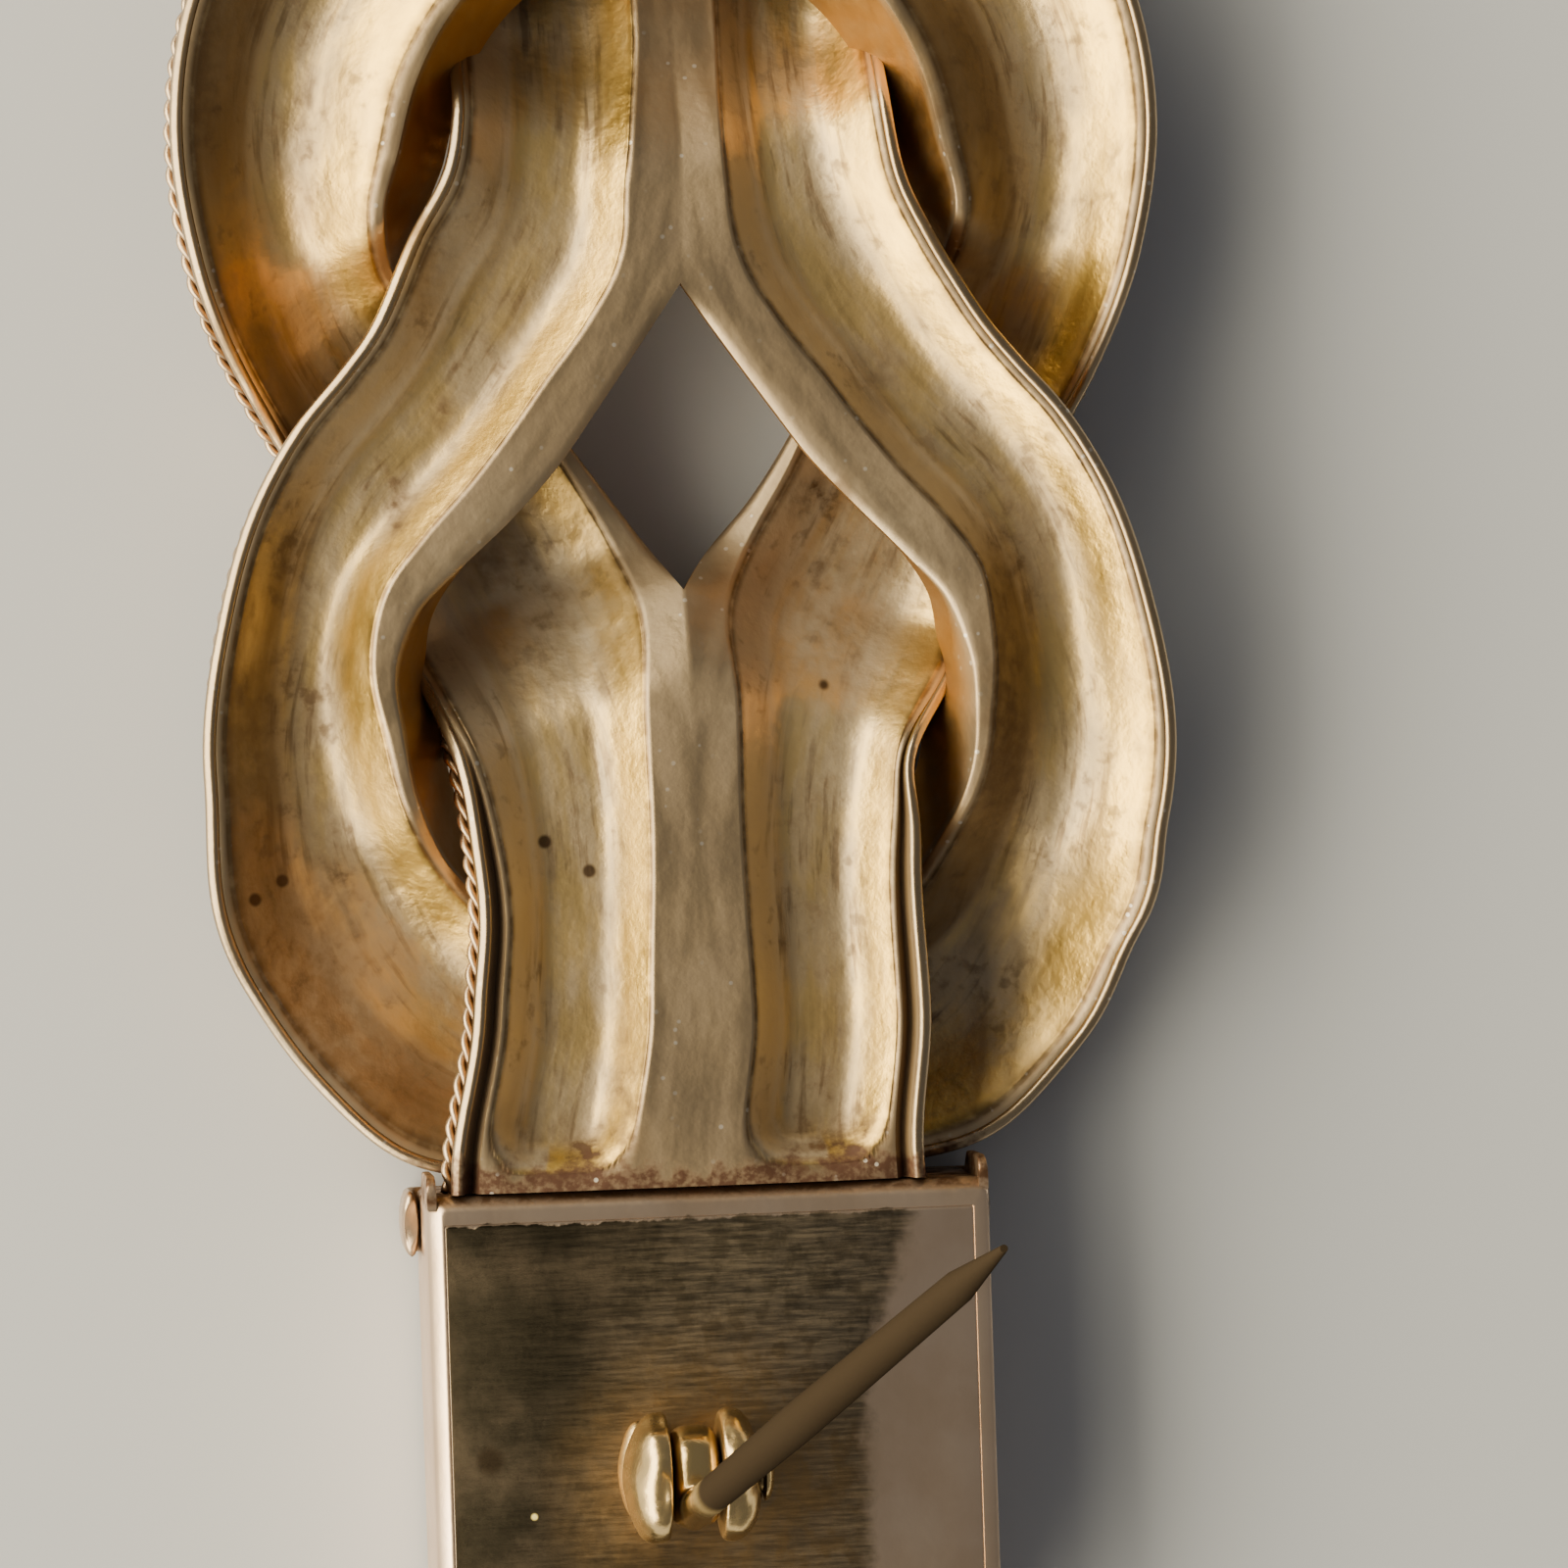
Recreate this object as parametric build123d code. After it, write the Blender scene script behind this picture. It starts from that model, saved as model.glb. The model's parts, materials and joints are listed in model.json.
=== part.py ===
from build123d import *
import math
import os

# A pressed knot brooch that lies face down: X across, Y along, Z up out of the back.
# The origin is under the middle of the knot, on the surface that the front rests on.
# The hinge terminal is at -Y, the catch terminal at +Y.

# Knot
KNOT_HALF_LENGTH = 17.0
KNOT_HALF_WIDTH = 11.1
KNOT_THICKNESS = 4.6
STRAND_DEPTH = 2.4
SHEET = 0.3
FLANGE_WIDTH = 1.0
CROSSING_GAP = 0.12
PIECE_GAP = 0.04

# Twisted wire along the rims
WIRE_DIAMETER = 0.36
WIRE_DROP = 1.3
WIRE_SIDE_GAP = 0.08

# Box terminals
TERMINAL_WIDTH = 12.8
TERMINAL_LENGTH = 12.5
TERMINAL_WALL = 0.45
TERMINAL_FRONT_LIFT = 0.35
TERMINAL_EDGE = 0.2
PLATE_STEP = 0.1

# Moulding across the front of each terminal
COLLAR_WIDTH = 1.5
COLLAR_OVERHANG = 0.42
COLLAR_HEIGHT = 2.0
COLLAR_ROUNDING = 0.15

# Hinge
HINGE_INSET = 6.35
HINGE_SIDE_SHIFT = -0.7
BARREL_LENGTH = 1.05
BARREL_RADIUS = 1.15
BARREL_SIDE_GAP = 0.06
BARREL_FLOOR_GAP = 0.15
CHEEK_PROUD = 0.3
CHEEK_FLAT = 0.35
CHEEK_DOME = 0.6
CHEEK_FOOT_LENGTH = 2.0
RIVET_RADIUS = 0.4
RIVET_SEAT_GAP = 0.02
RIVET_RUNNING_GAP = 0.05
RIVET_HEAD_RADIUS = 0.62
RIVET_HEAD_LENGTH = 0.28

# Pin
PIN_PAST_CATCH = 1.5
PIN_DIAMETER = 0.8
PIN_ROOT_SWELL = 0.1
PIN_ROOT_LENGTH = 2.4
PIN_TAPER_LENGTH = 22.0
PIN_TAPER_DIAMETER = 0.55
PIN_POINT_LENGTH = 5.0
PIN_POINT_DIAMETER = 0.12
PIN_OPEN_ANGLE = 79.0

# Catch
CATCH_LENGTH = 1.6
CATCH_INNER_RADIUS = 0.6
CATCH_WALL = 0.4
CATCH_MOUTH = 0.9
CATCH_STEM_WIDTH = 0.7

# Each row is one cross-section of half a loop, from its leg's end at the terminal to the middle of its bend.
# The y columns are shares of KNOT_HALF_LENGTH and point away from the bend, the x columns are shares of
# KNOT_HALF_WIDTH, and the flange columns are shares of FLANGE_WIDTH. The dive columns say how far each loop
# has sunk under the other there: 0 is at the back, 1 is at the front. catch and hinge name the loop by the
# terminal that its legs run into.
SECTION_COLUMNS = (
    "outer_y", "inner_y",
    "outer_x_catch", "inner_x_catch", "flange_catch", "dive_catch",
    "outer_x_hinge", "inner_x_hinge", "flange_hinge", "dive_hinge",
)
SECTION_TABLE = [
    (1.000, 1.000, 0.475, 0.000, 0.85, 1.00, 0.488, 0.000, 1.15, 0.00),
    (0.740, 0.740, 0.460, 0.000, 0.85, 1.00, 0.470, 0.000, 1.08, 0.00),
    (0.560, 0.540, 0.450, 0.000, 0.85, 0.75, 0.463, 0.000, 0.95, 0.00),
    (0.430, 0.330, 0.453, 0.000, 0.85, 0.10, 0.488, 0.000, 1.00, 0.10),
    (0.347, 0.203, 0.473, 0.000, 0.95, 0.00, 0.535, 0.000, 0.95, 0.55),
    (0.270, 0.118, 0.525, 0.090, 1.05, 0.00, 0.595, 0.090, 0.50, 0.95),
    (0.200, 0.035, 0.586, 0.180, 1.10, 0.00, 0.643, 0.180, 0.30, 1.00),
    (0.145, -0.032, 0.640, 0.255, 1.10, 0.00, 0.680, 0.255, 0.20, 1.00),
    (0.098, -0.106, 0.698, 0.360, 1.00, 0.00, 0.715, 0.360, 0.15, 1.00),
    (0.030, -0.170, 0.788, 0.468, 0.90, 0.00, 0.790, 0.465, 0.15, 1.00),
    (-0.070, -0.229, 0.880, 0.558, 0.75, 0.00, 0.875, 0.552, 0.15, 0.68),
    (-0.235, -0.300, 0.962, 0.600, 0.50, 0.00, 0.962, 0.574, 0.15, 0.10),
    (-0.423, -0.388, 1.000, 0.590, 0.30, 0.00, 1.000, 0.545, 0.15, 0.00),
    (-0.590, -0.480, 0.960, 0.562, 0.20, 0.20, 0.960, 0.510, 0.15, 0.00),
    (-0.724, -0.552, 0.862, 0.510, 0.15, 0.85, 0.862, 0.460, 0.15, 0.00),
    (-0.862, -0.620, 0.716, 0.415, 0.15, 1.00, 0.716, 0.380, 0.15, 0.00),
    (-0.960, -0.674, 0.550, 0.290, 0.15, 1.00, 0.550, 0.275, 0.15, 0.00),
    (-0.994, -0.706, 0.280, 0.145, 0.15, 1.00, 0.280, 0.145, 0.15, 0.00),
    (-0.994, -0.715, 0.000, 0.000, 0.15, 1.00, 0.000, 0.000, 0.15, 0.00),
]

# Spans between the table's rows: before the diamond's corner, before the inner wire, along the outer wires
LEG_SPAN_COUNT = 4
INNER_WIRE_SKIP_COUNT = 7
OUTER_WIRE_SPAN_COUNT = 16

# Fineness of the smooth curves
STEPS_PER_SPAN = 2
BOWL_STEPS = 7
BOWL_POWER = 2.5
WIRE_SIDES = 6


def curve(values, places, level=False):
    """Values with STEPS_PER_SPAN steps between each two. A level curve never passes beyond its rows."""
    last = len(values) - 1
    spans = [places[index + 1] - places[index] for index in range(last)]
    steps = [(values[index + 1] - values[index]) / spans[index] for index in range(last)]
    slopes = [steps[0]]
    for index in range(1, last):
        before, after = steps[index - 1], steps[index]
        if not level:
            weighed = before * spans[index] + after * spans[index - 1]
            slopes.append(weighed / (spans[index - 1] + spans[index]))
        elif before * after > 0:
            slopes.append(2 * before * after / (before + after))
        else:
            slopes.append(0.0)
    slopes.append(steps[-1])
    run = [values[0]]
    for index in range(last):
        for part in range(1, STEPS_PER_SPAN + 1):
            t = part / STEPS_PER_SPAN
            between = values[index] * (1 + 2 * t) * (1 - t) ** 2 + values[index + 1] * t * t * (3 - 2 * t)
            bend = slopes[index] * (1 - t) - slopes[index + 1] * t
            run.append(between + spans[index] * t * (1 - t) * bend)
    return run


def edge_curve(points):
    """Smooth curve through the points of one edge of a strand."""
    places = [0.0]
    for (x, y), (next_x, next_y) in zip(points, points[1:]):
        places.append(places[-1] + math.hypot(next_x - x, next_y - y))
    return list(zip(curve([x for x, y in points], places), curve([y for x, y in points], places)))


def loop_run(loop, skip=0, end=len(SECTION_TABLE) - 1):
    """Smooth rows of half a loop between two counts of spans, with the diamond's corner kept sharp.

    Each row holds the outer x and y, the inner x and y and the flange in millimetres, and the dive."""
    columns = dict(zip(SECTION_COLUMNS, zip(*SECTION_TABLE)))
    outer, inner, flange_edge = [], [], []
    for outer_x, outer_y, inner_x, inner_y, flange in zip(
        columns["outer_x_" + loop], columns["outer_y"],
        columns["inner_x_" + loop], columns["inner_y"], columns["flange_" + loop],
    ):
        outer_point = (outer_x * KNOT_HALF_WIDTH, outer_y * KNOT_HALF_LENGTH)
        inner_point = (inner_x * KNOT_HALF_WIDTH, inner_y * KNOT_HALF_LENGTH)
        share = flange * FLANGE_WIDTH / math.dist(outer_point, inner_point)
        outer.append(outer_point)
        inner.append(inner_point)
        flange_edge.append(tuple(b + (a - b) * share for a, b in zip(outer_point, inner_point)))
    corner = LEG_SPAN_COUNT
    inner_run = edge_curve(inner[:corner + 1]) + edge_curve(inner[corner:])[1:]
    dives = curve(columns["dive_" + loop], range(len(SECTION_TABLE)), level=True)
    rows = []
    for (outer_x, outer_y), (inner_x, inner_y), (edge_x, edge_y), dive in zip(
        edge_curve(outer), inner_run, edge_curve(flange_edge), dives,
    ):
        width = math.hypot(inner_x - outer_x, inner_y - outer_y)
        way_x, way_y = (inner_x - outer_x) / width, (inner_y - outer_y) / width
        flange = (inner_x - edge_x) * way_x + (inner_y - edge_y) * way_y
        rows.append((outer_x, outer_y, inner_x, inner_y, flange, dive))
    return rows[skip * STEPS_PER_SPAN:end * STEPS_PER_SPAN + 1]


def heights(dive):
    """Height of a strand's rims and of its crown."""
    rim = KNOT_THICKNESS - (STRAND_DEPTH + CROSSING_GAP) * dive
    crown = (KNOT_THICKNESS - STRAND_DEPTH) * (1 - dive)
    return rim, crown


def strand_section(row):
    """Closed outline of the pressed sheet at one row: crown side first, then back along the hollow."""
    outer_x, outer_y, inner_x, inner_y, flange, dive = row
    rim, crown = heights(dive)
    hollow = rim - crown - SHEET
    width = math.hypot(outer_x - inner_x, outer_y - inner_y)
    bowl = width - flange

    def point(distance, height):
        share = distance / width
        return (outer_x + (inner_x - outer_x) * share, outer_y + (inner_y - outer_y) * share, height)

    front, back = [], []
    for step in range(BOWL_STEPS + 1):
        along = (1 - math.cos(math.pi * step / BOWL_STEPS)) / 2
        fall = (1 - abs(2 * along - 1) ** BOWL_POWER) ** (1 / BOWL_POWER)
        front.append(point(bowl * along, rim - (hollow + SHEET) * fall))
        back.append(point(SHEET + (bowl - 2 * SHEET) * along, rim - hollow * fall))
    front[-1] = point(bowl, rim - SHEET)
    front.append(point(width, rim - SHEET))
    back.append(point(width, rim))
    return front + back[::-1]


def wire_section(row, inner):
    """Polygon round the centre of a wire that is tucked under the outer or the inner rim, beside the wall."""
    outer_x, outer_y, inner_x, inner_y, flange, dive = row
    rim, crown = heights(dive)
    width = math.hypot(outer_x - inner_x, outer_y - inner_y)
    out_x, out_y = (outer_x - inner_x) / width, (outer_y - inner_y) / width
    radius = WIRE_DIAMETER / 2
    fall = WIRE_DROP / STRAND_DEPTH
    inset = (width - flange) / 2 * (1 - (1 - fall ** BOWL_POWER) ** (1 / BOWL_POWER))
    reach = radius + WIRE_SIDE_GAP - inset
    if inner:
        start_x = inner_x - out_x * (reach - flange)
        start_y = inner_y - out_y * (reach - flange)
    else:
        start_x = outer_x + out_x * reach
        start_y = outer_y + out_y * reach
    points = []
    for side in range(WIRE_SIDES):
        angle = 2 * math.pi * (side + 0.5) / WIRE_SIDES
        sideways = radius * math.cos(angle)
        points.append((
            start_x + out_x * sideways,
            start_y + out_y * sideways,
            rim - WIRE_DROP + radius * math.sin(angle),
        ))
    return points


def ruled_solid(sections):
    return Solid.make_loft([Wire.make_polygon(section) for section in sections], ruled=True)


def both_halves(half, loop):
    """Right and left halves of a loop's piece, turned end for end for the loop of the hinge terminal."""
    right = half if loop == "catch" else mirror(half, about=Plane.XZ)
    return right, mirror(right, about=Plane.YZ)


def make_loop(loop):
    """A whole pressed loop: two strands, the web between its legs and the bend."""
    half = ruled_solid([strand_section(row) for row in loop_run(loop)])
    right, left = both_halves(half, loop)
    return right + left


def make_outer_wires(loop):
    """The two wires outside a loop's outer rims, from the leg's end to the terminal that hides the bend."""
    run = loop_run(loop, end=OUTER_WIRE_SPAN_COUNT)
    return both_halves(ruled_solid([wire_section(row, False) for row in run]), loop)


def make_inner_wire(loop):
    """The wire inside a loop's inner rim, in one piece round the bend."""
    run = loop_run(loop, skip=INNER_WIRE_SKIP_COUNT)
    right, left = both_halves(ruled_solid([wire_section(row, True) for row in run]), loop)
    return right + left


# Places that several pieces share
TERMINAL_START = KNOT_HALF_LENGTH + PIECE_GAP
PLATE_TOP = KNOT_THICKNESS + PLATE_STEP
HINGE_Y = -(TERMINAL_START + HINGE_INSET)
CATCH_Y = -HINGE_Y
HINGE_Z = PLATE_TOP + BARREL_FLOOR_GAP + BARREL_RADIUS
HINGE_AXIS = Axis((HINGE_SIDE_SHIFT, HINGE_Y, HINGE_Z), (1, 0, 0))
CHEEK_RADIUS = BARREL_RADIUS + CHEEK_PROUD
CHEEK_FACE = BARREL_LENGTH / 2 + BARREL_SIDE_GAP
CHEEK_THICKNESS = CHEEK_FLAT + CHEEK_DOME
CLOSED_PIN_Z = HINGE_Z + BARREL_RADIUS - PIN_DIAMETER / 2
PIN_LENGTH = CATCH_Y - HINGE_Y + PIN_PAST_CATCH


def span_box(x_span, y_span, z_span):
    """Box between two values along each axis."""
    size = [high - low for low, high in (x_span, y_span, z_span)]
    middle = [(high + low) / 2 for low, high in (x_span, y_span, z_span)]
    return Pos(*middle) * Box(*size)


def x_cylinder(radius, x_span):
    """Cylinder on the hinge axis, with x measured from the middle of the hinge."""
    low, high = x_span
    place = Pos(HINGE_SIDE_SHIFT + (low + high) / 2, HINGE_Y, HINGE_Z)
    return place * Rot(0, 90, 0) * Cylinder(radius, high - low)


def make_terminal():
    """Closed hollow box at the catch end, with softened edges round its back plate."""
    half_width, end = TERMINAL_WIDTH / 2, TERMINAL_START + TERMINAL_LENGTH
    wall = TERMINAL_WALL
    shell = span_box((-half_width, half_width), (TERMINAL_START, end), (TERMINAL_FRONT_LIFT, PLATE_TOP))
    plate_edges = shell.faces().sort_by(Axis.Z)[-1].edges()
    shell = chamfer(plate_edges, TERMINAL_EDGE)
    hollow = span_box(
        (-half_width + wall, half_width - wall),
        (TERMINAL_START + wall, end - wall),
        (TERMINAL_FRONT_LIFT + wall, PLATE_TOP - wall),
    )
    return shell - hollow


def make_collar():
    """Rounded moulding across the front of a terminal, turned up at both sides."""
    start = TERMINAL_START
    half_width = TERMINAL_WIDTH / 2
    reach = half_width + COLLAR_OVERHANG
    bar = span_box((-reach, reach), (start, start + COLLAR_WIDTH), (0, COLLAR_HEIGHT))
    bar = fillet(bar.edges(), COLLAR_ROUNDING)
    inside = half_width + PIECE_GAP
    return bar - span_box(
        (-inside, inside), (start, start + COLLAR_WIDTH),
        (TERMINAL_FRONT_LIFT - PIECE_GAP, COLLAR_HEIGHT),
    )


def make_cheek(side):
    """Domed disc of the hinge on its foot, with its flat face beside the barrel; side is -1 or 1."""
    with BuildPart() as disc:
        with BuildSketch(Plane.XZ):
            with BuildLine():
                Line((0, 0), (CHEEK_RADIUS, 0))
                Line((CHEEK_RADIUS, 0), (CHEEK_RADIUS, CHEEK_FLAT))
                RadiusArc(
                    (CHEEK_RADIUS, CHEEK_FLAT), (CHEEK_RADIUS - CHEEK_DOME, CHEEK_THICKNESS), -CHEEK_DOME,
                )
                Line((CHEEK_RADIUS - CHEEK_DOME, CHEEK_THICKNESS), (0, CHEEK_THICKNESS))
                Line((0, CHEEK_THICKNESS), (0, 0))
            make_face()
        revolve(axis=Axis.Z)
    foot_sides = sorted(HINGE_SIDE_SHIFT + side * reach for reach in (CHEEK_FACE, CHEEK_FACE + CHEEK_FLAT))
    foot = span_box(
        foot_sides,
        (HINGE_Y - CHEEK_FOOT_LENGTH / 2, HINGE_Y + CHEEK_FOOT_LENGTH / 2),
        (PLATE_TOP - TERMINAL_WALL / 2, HINGE_Z),
    )
    upright = Pos(HINGE_SIDE_SHIFT + side * CHEEK_FACE, HINGE_Y, HINGE_Z) * Rot(0, 90 * side, 0)
    return upright * disc.part + foot


def make_hinge_terminal():
    """The terminal that carries the hinge: box and both cheeks are soldered into one solid."""
    box = mirror(make_terminal(), about=Plane.XZ) + make_cheek(-1) + make_cheek(1)
    reach = CHEEK_FACE + CHEEK_THICKNESS
    return box - x_cylinder(RIVET_RADIUS + RIVET_SEAT_GAP, (-reach, reach))


def make_rivet():
    """Rivet through both cheeks, filed flush on the left and headed on the right."""
    face = CHEEK_FACE + CHEEK_THICKNESS
    head_start = face + RIVET_SEAT_GAP
    shank = x_cylinder(RIVET_RADIUS, (-face, head_start))
    return shank + x_cylinder(RIVET_HEAD_RADIUS, (head_start, head_start + RIVET_HEAD_LENGTH))


def make_pin():
    """Barrel and pointed stem with its thicker root in one piece, made closed along +Y and then opened."""
    whole = x_cylinder(BARREL_RADIUS, (-BARREL_LENGTH / 2, BARREL_LENGTH / 2))
    straight = PIN_LENGTH - PIN_ROOT_LENGTH - PIN_TAPER_LENGTH - PIN_POINT_LENGTH
    along = Pos(HINGE_SIDE_SHIFT, HINGE_Y, CLOSED_PIN_Z) * Rot(-90, 0, 0)
    start = 0.0
    for length, first, last in (
        (PIN_ROOT_LENGTH, PIN_DIAMETER + PIN_ROOT_SWELL, PIN_DIAMETER),
        (straight, PIN_DIAMETER, PIN_DIAMETER),
        (PIN_TAPER_LENGTH, PIN_DIAMETER, PIN_TAPER_DIAMETER),
        (PIN_POINT_LENGTH, PIN_TAPER_DIAMETER, PIN_POINT_DIAMETER),
    ):
        if first == last:
            stretch = Cylinder(first / 2, length)
        else:
            stretch = Cone(first / 2, last / 2, length)
        whole += along * Pos(0, 0, start + length / 2) * stretch
        start += length
    bore = x_cylinder(RIVET_RADIUS + RIVET_RUNNING_GAP, (-BARREL_LENGTH, BARREL_LENGTH))
    return (whole - bore).rotate(HINGE_AXIS, PIN_OPEN_ANGLE)


def make_catch():
    """Plain C-shaped hook whose mouth faces up, so that the point drops into it."""
    outer = CATCH_INNER_RADIUS + CATCH_WALL
    span = (CATCH_Y - CATCH_LENGTH / 2, CATCH_Y + CATCH_LENGTH / 2)
    along = Pos(HINGE_SIDE_SHIFT, CATCH_Y, CLOSED_PIN_Z) * Rot(90, 0, 0)
    ring = along * Cylinder(outer, CATCH_LENGTH)
    stem = span_box(
        (HINGE_SIDE_SHIFT - CATCH_STEM_WIDTH / 2, HINGE_SIDE_SHIFT + CATCH_STEM_WIDTH / 2),
        span, (PLATE_TOP + PIECE_GAP, CLOSED_PIN_Z),
    )
    mouth = span_box(
        (HINGE_SIDE_SHIFT - CATCH_MOUTH / 2, HINGE_SIDE_SHIFT + CATCH_MOUTH / 2),
        span, (CLOSED_PIN_Z, CLOSED_PIN_Z + outer),
    )
    return ring + stem - along * Cylinder(CATCH_INNER_RADIUS, CATCH_LENGTH) - mouth


collar = make_collar()
catch_wires = make_outer_wires("catch")
hinge_wires = make_outer_wires("hinge")
PIECES = {
    "loop_catch_end": make_loop("catch"),
    "loop_hinge_end": make_loop("hinge"),
    "wire_outer_catch_right": catch_wires[0],
    "wire_outer_catch_left": catch_wires[1],
    "wire_outer_hinge_right": hinge_wires[0],
    "wire_outer_hinge_left": hinge_wires[1],
    "wire_inner_catch": make_inner_wire("catch"),
    "wire_inner_hinge": make_inner_wire("hinge"),
    "terminal_catch_end": make_terminal(),
    "terminal_hinge_end": make_hinge_terminal(),
    "collar_catch_end": collar,
    "collar_hinge_end": mirror(collar, about=Plane.XZ),
    "hinge_rivet": make_rivet(),
    "pin": make_pin(),
    "catch_hook": make_catch(),
}

os.makedirs("parts", exist_ok=True)
for name, piece in PIECES.items():
    export_step(piece, f"parts/{name}.step")
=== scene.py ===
import json
import math

import bmesh
import bpy
import numpy as np
from mathutils import Matrix, Vector, noise


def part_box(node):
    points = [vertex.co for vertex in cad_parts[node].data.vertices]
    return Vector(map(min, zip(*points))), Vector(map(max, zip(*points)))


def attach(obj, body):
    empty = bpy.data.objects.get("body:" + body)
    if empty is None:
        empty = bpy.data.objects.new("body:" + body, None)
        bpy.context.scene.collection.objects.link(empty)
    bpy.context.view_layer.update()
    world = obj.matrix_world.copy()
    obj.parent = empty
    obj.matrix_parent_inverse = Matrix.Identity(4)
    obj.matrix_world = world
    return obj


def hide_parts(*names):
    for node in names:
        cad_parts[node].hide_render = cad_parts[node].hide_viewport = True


# A pressed gold knot brooch that lies face down, seen from the back.
# Lengths are in millimetres until a mesh is made. X is across, Y along, Z up out of the back.
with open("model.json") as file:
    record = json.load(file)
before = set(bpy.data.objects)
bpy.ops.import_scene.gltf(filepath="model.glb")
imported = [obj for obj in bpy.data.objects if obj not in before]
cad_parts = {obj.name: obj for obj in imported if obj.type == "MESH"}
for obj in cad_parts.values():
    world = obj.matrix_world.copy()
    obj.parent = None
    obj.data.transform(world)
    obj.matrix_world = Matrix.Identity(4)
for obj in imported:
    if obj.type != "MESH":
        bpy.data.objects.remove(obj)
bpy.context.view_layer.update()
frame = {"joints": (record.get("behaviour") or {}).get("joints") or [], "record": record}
MM = 0.001


def node_box(node):
    """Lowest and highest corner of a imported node, in millimetres."""
    low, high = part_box(node)
    return np.array(low) / MM, np.array(high) / MM


# Sizes of the knot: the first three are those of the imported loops
HALF_WIDTH, HALF_LENGTH, THICKNESS = node_box("loop_catch_end")[1]
STRAND_DEPTH = 2.4
CROSSING_GAP = 0.12
SHEET = 0.3
FLANGE_WIDTH = 1.0

# Each row is one cross-section of half a loop, from its leg's end at the terminal to the middle of its bend:
# x in shares of HALF_WIDTH, y in shares of HALF_LENGTH away from the bend, flange in shares of FLANGE_WIDTH.
# dive says how far a loop has sunk under the other: 0 is the back. cleft is the width of the cleft between
# the rim strip and the pressed hollow, in shares of CLEFT_WIDTH.
SECTION_COLUMNS = (
    "outer_y", "inner_y",
    "outer_x_catch", "inner_x_catch", "flange_catch", "dive_catch", "cleft_catch",
    "outer_x_hinge", "inner_x_hinge", "flange_hinge", "dive_hinge", "cleft_hinge",
)
SECTION_TABLE = [
    (1.000, 1.000, 0.475, 0.000, 0.85, 1.00, 0.05, 0.488, 0.000, 1.15, 0.00, 0.9),
    (0.740, 0.740, 0.460, 0.000, 0.85, 1.00, 0.05, 0.470, 0.000, 1.08, 0.00, 0.9),
    (0.560, 0.540, 0.450, 0.000, 0.85, 0.75, 0.05, 0.463, 0.000, 0.95, 0.00, 0.75),
    (0.430, 0.330, 0.453, 0.000, 0.85, 0.10, 0.05, 0.488, 0.000, 1.00, 0.10, 0.3),
    (0.347, 0.203, 0.473, 0.000, 1.20, 0.00, 0.05, 0.535, 0.000, 0.95, 0.55, 0.05),
    (0.270, 0.118, 0.525, 0.090, 1.05, 0.00, 0.05, 0.595, 0.090, 0.50, 0.95, 0.05),
    (0.200, 0.035, 0.586, 0.180, 1.10, 0.00, 0.05, 0.643, 0.180, 0.30, 1.00, 0.05),
    (0.145, -0.032, 0.640, 0.255, 1.10, 0.00, 0.05, 0.680, 0.255, 0.20, 1.00, 0.05),
    (0.098, -0.106, 0.698, 0.360, 1.00, 0.00, 0.05, 0.715, 0.360, 0.15, 1.00, 0.05),
    (0.030, -0.170, 0.788, 0.468, 0.90, 0.00, 0.05, 0.790, 0.465, 0.15, 1.00, 0.05),
    (-0.070, -0.229, 0.880, 0.558, 0.75, 0.00, 0.05, 0.875, 0.552, 0.15, 0.68, 0.05),
    (-0.235, -0.300, 0.962, 0.600, 0.50, 0.00, 0.05, 0.962, 0.574, 0.15, 0.10, 0.05),
    (-0.423, -0.388, 1.000, 0.590, 0.30, 0.00, 0.05, 1.000, 0.545, 0.15, 0.00, 0.05),
    (-0.590, -0.480, 0.960, 0.562, 0.20, 0.20, 0.05, 0.960, 0.510, 0.15, 0.00, 0.05),
    (-0.724, -0.552, 0.862, 0.510, 0.15, 0.62, 0.05, 0.862, 0.460, 0.15, 0.00, 0.05),
    (-0.862, -0.620, 0.716, 0.415, 0.15, 0.93, 0.05, 0.716, 0.380, 0.15, 0.00, 0.05),
    (-0.960, -0.674, 0.550, 0.290, 0.15, 1.00, 0.05, 0.550, 0.275, 0.15, 0.00, 0.05),
    (-0.994, -0.706, 0.280, 0.145, 0.15, 1.00, 0.05, 0.280, 0.145, 0.15, 0.00, 0.05),
    (-0.994, -0.715, 0.000, 0.000, 0.15, 1.00, 0.05, 0.000, 0.000, 0.15, 0.00, 0.05),
]
LEG_SPAN_COUNT = 4
INNER_WIRE_SKIP_COUNT = 7
OUTER_WIRE_SPAN_COUNT = 16
STEPS_PER_SPAN = 12

# Rim strip, cleft and pressed hollow across a strand
RIM_STRIP = 0.28
CLEFT_WIDTH = 0.42
CLEFT_DEPTH = 0.45
HOLLOW_LIP = 0.14
LEG_DEPTH_SHARE = 0.50
BEND_DEPTH_SHARE = 0.68
EDGE_ROUNDING = 0.05
# Points of a profile: share of its width, and drop. Rims and inner edges drop by so many EDGE_ROUNDINGs,
# clefts by a share of their depth.
RIM_PROFILE = (
    (0.0, 4.4), (0.05, 2.4), (0.12, 1.6), (0.3, 0.95), (0.5, 0.3), (0.64, 0.0), (0.85, 0.35), (1.0, 1.0))
CLEFT_PROFILE = ((0.08, 0.25), (0.2, 0.6), (0.38, 0.95), (0.55, 1.0), (0.72, 0.7), (0.86, 0.35))
INNER_EDGE_PROFILE = ((0.06, 0.0), (0.3, 0.0), (0.6, 0.0), (0.82, 0.15), (0.92, 0.8), (1.0, 2.0))

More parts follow.
